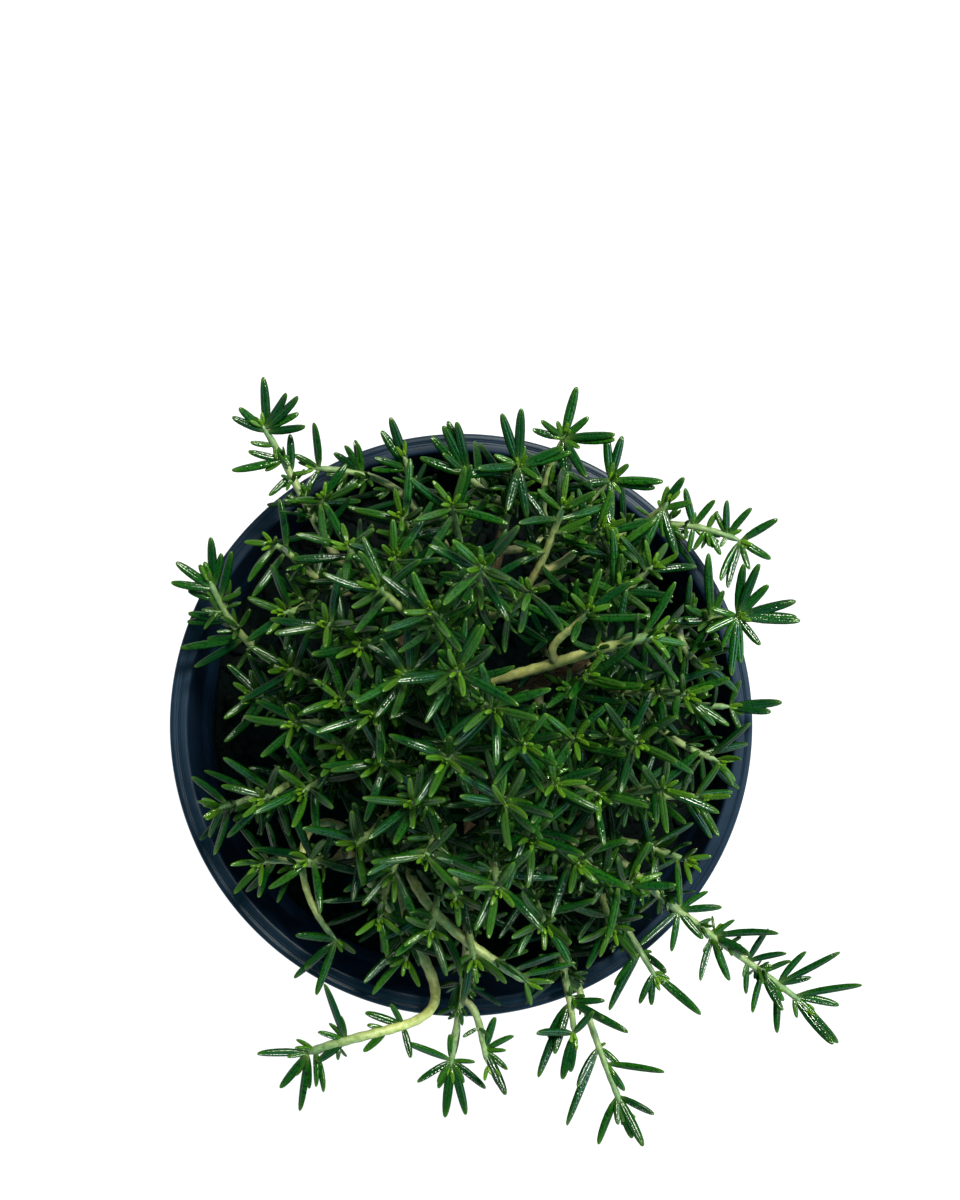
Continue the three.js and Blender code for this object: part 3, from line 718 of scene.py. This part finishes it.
def add_bud_stem(strips, base, axis, length):
    """A thin tapering stem from inside the shoot's stem to the side bud's last pair."""
    across = level_side(axis)
    ring = circle(turns_of(BUD_STEM_SIDES), across, np.cross(axis, across))
    rings = [base + axis * length * share + ring * mixed(*BUD_STEM_RADII, share)
             for share in (0.0, 0.5, 0.9)]
    strips.add(rings, base, base + axis * length, along=1.0, around=0.0, pale=0.0)


def grow_leaves(leaves, stems, route, leafy_from, taken):
    """Opposite pairs, each a quarter turn from the next, from the tip down to the bare part. Near the
    joints of the seen leaves, at the distances in taken, only small ones grow.
    """
    pairs = BUD_PAIRS + YOUNG_PAIRS
    distance = route.length
    spin = chance.uniform(0, math.pi)
    index = 0
    while True:
        step, length, width, degrees = pairs[index] if index < len(pairs) else OLD_PAIR
        distance -= step * (chance.uniform(*OLD_STEPS) if index >= len(pairs) else 1)
        if distance < leafy_from:
            return
        axis = route.direction(distance)
        age = min(1.0, index / AGE_PAIRS - 1)
        spin += math.pi / 2 + chance.gauss(0, PAIR_TWIST)
        crowded = any(abs(distance - joint) < JOINT_ROOM for joint in taken)
        for half in (0, math.pi):
            outward = turned(level_side(axis), axis, spin + half)
            base = route.at(distance) + outward * LEAF_FOOT
            if not crowded or length < SMALL_LEAF:
                grow_leaf(leaves, base, axis, outward, length, width, degrees, age)
            if index >= len(pairs) and chance.random() < TUFT_CHANCE:
                grow_tuft(leaves, stems, base, axis, outward)
        index += 1


def grow_seen_leaves(strips, routes, rows):
    """Leaves with their tips where the photograph shows them. Gives back, for each route, the distances
    along it at which they grow.
    """
    least, more, most = SEEN_WIDTH
    taken = [[] for _ in routes]
    places = [(number, distance) for number, route in enumerate(routes)
              for distance in np.linspace(*SEEN_JOINTS) * route.length]
    for joint, *tips in rows:
        number, distance = min(places, key=lambda place: size_of(
            seen_pixel(routes[place[0]].at(place[1])) - np.array(joint)))
        taken[number].append(distance)
        base = routes[number].at(distance)
        axis = routes[number].direction(distance)
        for tip in tips:
            level_tip = seen_point(tip, base[2])
            rise = chance.uniform(*SEEN_RISE) * size_of(level_tip - base)
            end = seen_point(tip, base[2] + rise)
            length = size_of(end - base)
            direction = (end - base) / length
            width = min(most, least + more * length)
            age = -max(0.0, SEEN_YOUTH - length / FULL_LENGTH)
            bend = chance.gauss(*SEEN_BEND)
            add_leaf(strips, base, direction, lit_side(direction, axis), length, width, bend, 0, age)
    return taken


# ---- Stems ----


def add_stem(strips, route, radius_at, sides, step, **marks):
    """A round stem along a route; radius_at gives its radius in mm for a distance along it."""
    count = max(6, int(route.length / step))
    level = level_side(route.direction(0), (0.3, 0.2, 0))
    turns = turns_of(sides)
    rings = []
    for distance in np.linspace(0, route.length, count):
        axis = route.direction(distance)
        level = unit(level - axis * axis.dot(level))
        ring = circle(turns, level, np.cross(axis, level))
        rings.append(route.at(distance) + ring * radius_at(distance, turns)[:, None])
    shares = np.linspace(0, 1, count)[:, None]
    strips.add(rings, route.at(0), route.at(route.length), along=shares,
               around=np.arange(sides) / sides, **marks)


def shoot_radius(route, radii):
    """Thins towards the tip, slightly squared, with a faint swelling every few millimetres."""
    def radius(distance, turns):
        share = distance / route.length
        swelling = 1 + SWELLING * math.sin(2 * math.pi * distance / SWELLING_PITCH)
        ending = min(1.0, BLUNT_TIP[0] + (route.length - distance) / BLUNT_TIP[1])
        squared = 1 + SQUARENESS * np.cos(4 * turns)
        return mixed(*radii, share) * swelling * ending * squared
    return radius


def woody_radius(route, phase):
    """Thins towards the top, with knots and shallow ridges of bark."""
    def radius(distance, turns):
        share = distance / route.length
        knot = 1 + KNOT * math.sin(KNOT_WAVE * distance + phase) ** 4
        ridges = RIDGE * np.sin(RIDGES * turns + phase)
        fine = FINE_RIDGE * np.sin(FINE_RIDGES * turns + RIDGE_TWIST * distance)
        return mixed(*WOODY_RADII, share) * knot * (1 + ridges + fine)
    return radius


# ---- Materials ----


class Nodes:
    """Short ways to add nodes to a node tree."""

    def __init__(self, tree):
        self.nodes, self.links = tree.nodes, tree.links

    def node(self, kind, values=(), **settings):
        """Adds a node; values are (socket, number or output) pairs."""
        made = self.nodes.new(kind)
        for key, value in settings.items():
            setattr(made, key, value)
        for socket, value in values:
            self.set(made.inputs[socket], value)
        return made

    def set(self, socket, value):
        if isinstance(value, bpy.types.NodeSocket):
            self.links.new(value, socket)
        else:
            socket.default_value = value

    def ramp(self, factor, stops):
        """A colour ramp; stops are (place, colour) pairs."""
        made = self.node("ShaderNodeValToRGB", [("Fac", factor)])
        elements = made.color_ramp.elements
        while len(elements) < len(stops):
            elements.new(0.5)
        for element, (place, colour) in zip(elements, stops):
            element.position = place
            element.color = (*colour, 1)
        return made.outputs["Color"]


class Finish(Nodes):
    """A node material with a Principled shader."""

    def __init__(self, name, roughness, **sockets):
        self.material = bpy.data.materials.new(name)
        self.material.use_nodes = True
        super().__init__(self.material.node_tree)
        self.shader = self.nodes["Principled BSDF"]
        self.put("Roughness", roughness)
        for socket, value in sockets.items():
            self.put(socket.replace("_", " "), value)

    def put(self, socket, value):
        self.set(self.shader.inputs[socket], value)

    def mark(self, name):
        return self.node("ShaderNodeAttribute", attribute_name=name).outputs["Fac"]

    def position(self):
        return self.node("ShaderNodeTexCoord").outputs["Object"]

    def noise(self, scale, detail=3.0, vector=None):
        values = [("Scale", scale), ("Detail", detail), ("Vector", vector or self.position())]
        return self.node("ShaderNodeTexNoise", values).outputs["Fac"]

    def maths(self, operation, first, second=0.0):
        return self.node("ShaderNodeMath", [(0, first), (1, second)], operation=operation).outputs[0]

    def times(self, first, second):
        return self.maths("MULTIPLY", first, second)

    def inverse(self, share):
        return self.maths("SUBTRACT", 1, share)

    def mix(self, factor, first, second):
        """Goes from the first colour to the second as the factor goes from 0 to 1, or over it."""
        made = self.node("ShaderNodeMix", data_type="RGBA")
        self.set(made.inputs["Factor"], factor)
        colours = [socket for socket in made.inputs if socket.type == "RGBA"]
        for socket, value in zip(colours, (first, second)):
            self.set(socket, (*value, 1) if isinstance(value, tuple) else value)
        return next(socket for socket in made.outputs if socket.type == "RGBA")

    def colour(self, output):
        self.put("Base Color", output)

    def bump(self, height, depth_mm, strength, socket="Normal"):
        values = [("Height", height), ("Distance", depth_mm * MM), ("Strength", strength)]
        self.put(socket, self.node("ShaderNodeBump", values).outputs["Normal"])


def leaf_finish():
    """Glossy deep green with fine pebbles above, a paler tip and base, whitish felt underneath. Young
    leaves are lighter, and old ones are darker as their own tone. Painted shade: each hollow between
    the pebbles is darker, and leaves deep in the plant are darker and less glossy.
    """
    leaf = Finish("rosemary_leaf", 0.6, Specular_IOR_Level=0.0, Coat_Roughness=0.1, Coat_IOR=1.46)
    cells = leaf.node("ShaderNodeTexVoronoi", [("Scale", 1500), ("Vector", leaf.position())])
    # Painted shade: each hollow between the pebbles is darkened in the leaf's colour below, and the same
    # value shapes the bump
    hollows_and_shade = leaf.maths("POWER", cells.outputs["Distance"], 2)
    along, dark, under = leaf.mark("along"), leaf.mark("dark"), leaf.mark("under")
    top = leaf.ramp(leaf.mark("tone"), [(0.0, (0.0011, 0.019, 0.0037)), (0.5, (0.0030, 0.036, 0.0030)),
                                        (1.0, (0.010, 0.067, 0.0022))])
    tip = leaf.maths("POWER", along, 12)
    base = leaf.maths("POWER", leaf.inverse(along), 12)
    youth = leaf.maths("POWER", leaf.mark("youth"), 1.6)
    for share, strength, colour in (
        (leaf.noise(260, 4), 0.25, (0.010, 0.056, 0.0015)),
        # painted shade in each hollow between the pebbles
        (hollows_and_shade, 1.2, (0.0011, 0.013, 0.0022)),
        (youth, 0.85, (0.10, 0.21, 0.0089)),
        (tip, 0.5, (0.074, 0.15, 0.0089)),
        (base, 0.8, (0.15, 0.21, 0.052)),
        # painted shade deep in the plant, with old leaves' own darker tone
        (dark, 0.92, (0.0003, 0.009, 0.0035)),
    ):
        top = leaf.mix(leaf.times(share, strength), top, colour)
    felt = leaf.ramp(leaf.noise(900, 2), [(0.3, (0.037, 0.081, 0.037)), (0.7, (0.10, 0.16, 0.081))])
    leaf.colour(leaf.mix(under, top, felt))
    pebbles = leaf.inverse(hollows_and_shade)
    leaf.bump(pebbles, 0.17, 1.0)
    leaf.bump(pebbles, 0.05, 1.0, "Coat Normal")
    margin = leaf.maths("POWER", leaf.maths("ABSOLUTE", leaf.mark("across")), 1.5)
    shine = leaf.inverse(leaf.maths("MAXIMUM", margin, under))
    # less coat deep in the plant: painted shade on its reflections
    gloss = leaf.times(shine, leaf.inverse(leaf.times(dark, 0.75)))
    leaf.put("Coat Weight", gloss)
    return leaf.material


def stem_finish():
    """Young stem with fine pale down: cream-yellow, green towards its tip and brown at its foot."""
    stem = Finish("green_stem", 0.55, Subsurface_Weight=0.05, Subsurface_Scale=0.6 * MM)
    streaks = stem.noise(700, 4)
    cream = stem.ramp(streaks, [(0.3, (0.22, 0.24, 0.045)), (0.7, (0.45, 0.42, 0.17))])
    green = stem.ramp(streaks, [(0.3, (0.052, 0.11, 0.030)), (0.7, (0.15, 0.22, 0.089))])
    tip = stem.node("ShaderNodeMapRange", [("Value", stem.mark("along")), ("From Min", 0.7),
                                           ("From Max", 0.95)]).outputs["Result"]
    foot = stem.maths("POWER", stem.inverse(stem.mark("along")), 5)
    brown = stem.ramp(stem.noise(500, 5), [(0.3, (0.074, 0.044, 0.018)), (0.7, (0.19, 0.13, 0.067))])
    young = stem.mix(tip, stem.mix(stem.mark("pale"), green, cream), green)
    stem.colour(stem.mix(stem.times(foot, 0.8), young, brown))
    stem.bump(streaks, 0.12, 0.6)
    return stem.material


def bark_finish():
    """Grey-brown bark with lengthwise cracks."""
    bark = Finish("woody_bark", 0.8, Specular_IOR_Level=0.2)
    cracks = bark.node("ShaderNodeCombineXYZ")
    bark.set(cracks.inputs["X"], bark.times(bark.mark("around"), 9))
    bark.set(cracks.inputs["Y"], bark.times(bark.mark("along"), 14))
    fibre = bark.noise(2.2, 6, cracks.outputs["Vector"])
    bark.colour(bark.ramp(fibre, [(0.25, (0.022, 0.014, 0.0074)), (0.5, (0.074, 0.048, 0.025)),
                                  (0.75, (0.18, 0.13, 0.074))]))
    bark.bump(bark.noise(1400, 6), 0.35, 0.8)
    return bark.material


def pot_finish():
    """Dark blue-black moulded plastic with a fine satin grain, scuffs and a little dust."""
    pot = Finish("nursery_pot_plastic", 0.42, Specular_IOR_Level=0.22)
    dust = pot.noise(38, 6)
    pot.colour(pot.ramp(dust, [(0.35, (0.0018, 0.0067, 0.018)), (0.75, (0.0037, 0.013, 0.033))]))
    pot.put("Roughness", pot.ramp(dust, [(0.3, (0.36,) * 3), (0.8, (0.55,) * 3)]))
    pot.bump(pot.noise(1500, 3), 0.05, 0.5)
    return pot.material


def soil_finish():
    soil = Finish("potting_mix", 0.95, Specular_IOR_Level=0.1)
    crumbs = soil.noise(420, 8)
    # Painted shade and haze: nearly black with a blue-green cast, as the mix looks in the plant's shade,
    # not its own brown
    soil.colour(soil.ramp(crumbs, [(0.3, (0.0004, 0.0022, 0.0022)), (0.55, (0.0011, 0.0044, 0.0044)),
                                   (0.8, (0.0044, 0.0074, 0.0067))]))
    soil.bump(crumbs, 1.2, 1.0)
    return soil.material


def chip_finish():
    """Bark chips and crumbs, each a different tone: mostly nearly black with a blue-green cast as painted
    shade and haze, a few brown.
    """
    chip = Finish("bark_chip", 0.85, Specular_IOR_Level=0.1)
    colour = chip.ramp(chip.mark("tone"), [(0.0, (0.0004, 0.0022, 0.0022)), (0.7, (0.0015, 0.0044, 0.0044)),
                                           (0.93, (0.0044, 0.0059, 0.0052)), (1.0, (0.015, 0.010, 0.0074))])
    chip.colour(chip.mix(chip.times(chip.noise(800, 5), 0.6), colour, (0.0022, 0.0044, 0.0037)))
    chip.bump(chip.noise(900, 6), 0.4, 0.9)
    return chip.material


leaf_material = leaf_finish()
stem_material = stem_finish()
bark_material = bark_finish()
pot_material = pot_finish()
soil_material = soil_finish()
chip_material = chip_finish()

# ---- Pot ----


def level_ring(radius, height, turns):
    return np.stack([radius * np.cos(turns), radius * np.sin(turns), np.full(len(turns), height)], axis=1)


def lathe(name, outline, sides, material):
    """A closed surface turned about +Z from [radius, height] points in mm, both ends on the axis."""
    rings = [level_ring(radius, height, turns_of(sides)) for radius, height in outline[1:-1]]
    strips = Strips()
    strips.add(rings, (0, 0, outline[0][1]), (0, 0, outline[-1][1]), along=0.0)
    return strips.build(name, material)


def rounded(corner, before, after, radius):
    """Points that round an outline's corner, from the side of `before` to the side of `after`."""
    corner, before, after = (np.array(point, float) for point in (corner, before, after))
    start = corner + unit(before - corner) * radius
    end = corner + unit(after - corner) * radius
    return [tuple((1 - s) ** 2 * start + 2 * s * (1 - s) * corner + s**2 * end)
            for s in np.linspace(0, 1, CORNER_STEPS + 1)]


def smooth_outline(points):
    """An outline whose third value, where a point has one, is its rounding radius."""
    made = []
    for index, point in enumerate(points):
        if len(point) == 2:
            made.append(point)
            continue
        before, after = points[index - 1][:2], points[index + 1][:2]
        made += rounded(point[:2], before, after, point[2])
    return made


def make_pot():
    wall_top = LIP_INNER_RADIUS + WALL
    collar_radius = wall_top - COLLAR_TAPER
    under_lip = POT_HEIGHT - LIP_THICKNESS
    skirt_foot = POT_HEIGHT - SKIRT_HEIGHT
    groove_start, groove_end = (RIM_RADIUS - place for place in LIP_GROOVE)
    outline = smooth_outline([
        (0, 0),
        (FOOT_RADIUS - FOOT_RING, 0),
        (FOOT_RADIUS, 0, 1.5),
        (collar_radius - STEP_WIDTH, COLLAR_FOOT - STEP_WIDTH, 0.8),
        (collar_radius, COLLAR_FOOT, 0.6),
        (wall_top, under_lip, 0.5),
        (RIM_RADIUS - WALL, under_lip, 0.5),
        (RIM_RADIUS - WALL - SKIRT_TAPER, skirt_foot, 0.3),
        (RIM_RADIUS - SKIRT_TAPER, skirt_foot, 0.4),
        (RIM_RADIUS, POT_HEIGHT, 1.1),
        (groove_start, POT_HEIGHT, 0.3),
        (groove_start - GROOVE_SLANT, POT_HEIGHT - GROOVE_DEPTH, 0.25),
        (groove_end + GROOVE_SLANT, POT_HEIGHT - GROOVE_DEPTH, 0.25),
        (groove_end, POT_HEIGHT - LIP_DROP, 0.3),
        (LIP_INNER_RADIUS, POT_HEIGHT - LIP_DROP, 0.9),
        (collar_radius - WALL, COLLAR_FOOT, 0.6),
        (collar_radius - STEP_WIDTH - WALL, INNER_STEP_FOOT, 0.8),
        (INNER_FOOT_RADIUS, FLOOR_THICKNESS, 1.0),
        (0, FLOOR_THICKNESS),
    ])
    pot = lathe("nursery_pot", outline, POT_SIDES, pot_material)
    for index in range(DRAIN_HOLES):
        angle = 2 * math.pi * (index + 0.5) / DRAIN_HOLES
        centre = Vector((math.cos(angle), math.sin(angle), 0)) * DRAIN_CIRCLE_RADIUS * MM
        bpy.ops.mesh.primitive_cylinder_add(
            radius=DRAIN_RADIUS * MM, depth=4 * FLOOR_THICKNESS * MM, vertices=DRAIN_SIDES, location=centre)
        cutter = bpy.context.object
        cut = pot.modifiers.new("drain", "BOOLEAN")
        cut.operation = "DIFFERENCE"
        cut.solver = "EXACT"
        cut.object = cutter
        bpy.context.view_layer.objects.active = pot
        bpy.ops.object.modifier_apply(modifier=cut.name)
        bpy.data.objects.remove(cutter)
    keep(pot, "pot", "pot")


# ---- Soil ----


def soil_height(x, y):
    """The uneven surface of the mix, in mm: a low mound with lumps."""
    share = min(1.0, math.hypot(x, y) / SOIL_RADIUS)
    middle_drop, edge_drop = SOIL_DROPS
    mound = mixed(SOIL_MIDDLE_HEIGHT - middle_drop, SOIL_EDGE_HEIGHT - edge_drop, share**MOUND_POWER)
    broad = BROAD_LUMP * math.sin(0.21 * x + 1.3) * math.sin(0.17 * y + 0.4)
    small = SMALL_LUMP * math.sin(0.5 * x - 0.43 * y)
    return mound + (broad + small)


def inner_radius(height):
    """Radius of the pot wall's inner face below the collar."""
    top_radius = LIP_INNER_RADIUS - COLLAR_TAPER - STEP_WIDTH
    share = (height - FLOOR_THICKNESS) / (INNER_STEP_FOOT - FLOOR_THICKNESS)
    return mixed(INNER_FOOT_RADIUS, top_radius, share)


def make_soil():
    turns = turns_of(SOIL_SIDES)
    bottom = FLOOR_THICKNESS + SOIL_GAP
    rings = [level_ring(inner_radius(height) - SOIL_GAP, height, turns)
             for height in (bottom, SOIL_EDGE_HEIGHT - 2)]
    for radius in np.linspace(inner_radius(SOIL_EDGE_HEIGHT) - SOIL_GAP, 3, SOIL_RINGS):
        x, y = radius * np.cos(turns), radius * np.sin(turns)
        z = [soil_height(a, b) + chance.uniform(-SOIL_CRUMB, SOIL_CRUMB) for a, b in zip(x, y)]
        rings.append(np.stack([x, y, z], axis=1))
    strips = Strips()
    strips.add(rings, (0, 0, bottom), (0, 0, soil_height(0, 0)), along=0.0)
    keep(strips.build("potting_soil", soil_material), "soil", "soil")


def make_chips():
    """Bark chips and crumbs lying on the soil: short, rough, flattened lumps."""
    strips = Strips()
    turns = turns_of(CHIP_SIDES)
    for _ in range(CHIPS):
        radius = CHIP_REACH * math.sqrt(chance.random())
        angle = chance.uniform(0, 2 * math.pi)
        x, y = radius * math.cos(angle), radius * math.sin(angle)
        room = CHIP_ROOM[0] * (SOIL_RADIUS - radius) + CHIP_ROOM[1]
        size = min(chance.choice(CHIP_SIZES), room)
        centre = np.array([x, y, soil_height(x, y) + CHIP_LIFT * size])
        forward = pointing(chance.uniform(0, 360), chance.uniform(*CHIP_CLIMB))
        across = unit(np.cross(UP, forward))
        top = np.cross(forward, across)
        rings = []
        for place, girth in CHIP_PROFILE:
            rough = np.array([chance.uniform(*CHIP_ROUGHNESS) for _ in turns])[:, None]
            ring = circle(turns, across * CHIP_WIDTH, top * CHIP_HEIGHT) * rough
            rings.append(centre + forward * place * size + ring * girth * size)
        strips.add(rings, centre - forward * size, centre + forward * size, tone=chance.random())
    keep(strips.build("bark_chips", chip_material), "soil")


# ---- Plant ----


def make_plant():
    for number, stem in enumerate(WOODY_STEMS):
        wood = woody_route(stem)
        strips = Strips()
        add_stem(strips, wood, woody_radius(wood, BARK_SHIFT * number), WOODY_SIDES, WOODY_STEP)
        node = f"woody_stem_{stem['name']}"
        keep(strips.build(f"{node}_bark", bark_material), "bark", node)
        for index, entry in enumerate(stem["shoots"], start=1):
            node = f"shoot_{stem['name']}_{index}"
            main = shoot_route(wood, entry)
            routes = [main]
            radii = [entry.get("radii", SHOOT_RADII)]
            if "side" in entry:
                routes.append(shoot_route(main, entry["side"]))
                radii.append(SHOOT_RADII)
            stems, leaves = Strips(), Strips()
            taken = grow_seen_leaves(leaves, routes, SEEN_LEAVES.get(node, []))
            paleness = BARE_PALENESS if "bare" in entry else LEAFY_PALENESS
            for route, ends, joints in zip(routes, radii, taken):
                radius = shoot_radius(route, ends)
                add_stem(stems, route, radius, SHOOT_SIDES, SHOOT_STEP, pale=paleness)
                leafy_from = entry.get("bare", BARE_FRACTION) * route.length
                grow_leaves(leaves, stems, route, leafy_from, joints)
            keep(stems.build(f"{node}_stem", stem_material), "foliage", node)
            keep(leaves.build(f"{node}_leaves", leaf_material), "foliage", node)


make_pot()
make_soil()
make_chips()
make_plant()

# ---- Floor, light and camera ----

FLOOR_SIZE = 6.0  # in metres, as are the lights' places and sizes below
WALLS_TOP, CEILING_FOOT = 0.24, 0.4  # heights in the view directions, from 0 level to 1 overhead


def floor_finish():
    """Pale, and lit from within, so that it is white out to its edge."""
    floor = Finish("pale_floor", 0.9)
    floor.colour(floor.ramp(floor.noise(3, 2), [(0.0, (0.09,) * 3), (1.0, (0.11,) * 3)]))
    floor.put("Emission Color", (1, 1, 1, 1))
    floor.put("Emission Strength", 1.0)
    return floor.material


def make_floor():
    bpy.ops.mesh.primitive_plane_add(size=FLOOR_SIZE)
    floor = bpy.context.object
    floor.name = "floor"
    floor.data.materials.append(floor_finish())


def add_area_light(name, place, size, power, colour):
    data = bpy.data.lights.new(name, "AREA")
    data.shape = "DISK"
    data.size = size
    data.energy = power
    data.color = colour
    light = add_object(name, data)
    light.location = place
    aim = Vector((0, 0, POT_HEIGHT * MM)) - Vector(place)
    light.rotation_euler = aim.to_track_quat("-Z", "Y").to_euler()


def make_light():
    add_area_light("key_light", (0.5, 0.75, 1.55), 0.4, 62, (0.96, 1.0, 0.84))
    add_area_light("fill_light", (1.3, 0.0, 1.0), 1.0, 15, (0.5, 0.85, 1.0))
    add_area_light("front_light", (0.2, -1.4, 1.2), 1.2, 7, (0.3, 0.85, 1.0))
    bpy.context.scene.view_settings.view_transform = "Standard"


def make_world():
    """Pale round the horizon, as studio walls are, and a dim blue-green overhead."""
    world = bpy.data.worlds.new("studio")
    world.use_nodes = True
    sky = Nodes(world.node_tree)
    direction = sky.node("ShaderNodeTexCoord").outputs["Generated"]
    height = sky.node("ShaderNodeSeparateXYZ", [("Vector", direction)]).outputs["Z"]
    colour = sky.ramp(height, [(WALLS_TOP, (1, 1, 1)), (CEILING_FOOT, (0.002, 0.19, 0.18))])
    sky.set(sky.nodes["Background"].inputs["Color"], colour)
    bpy.context.scene.world = world


def make_camera():
    """Looks straight down, so that the lip is the circle that the photograph shows."""
    data = bpy.data.cameras.new("camera")
    data.sensor_fit = "VERTICAL"
    data.sensor_height = SENSOR
    data.lens = LENS
    camera = add_object("camera", data)
    camera.location = Vector((CAMERA_X, CAMERA_Y, POT_HEIGHT + CAMERA_RISE)) * MM
    bpy.context.scene.camera = camera


make_floor()
make_light()
make_world()
make_camera()
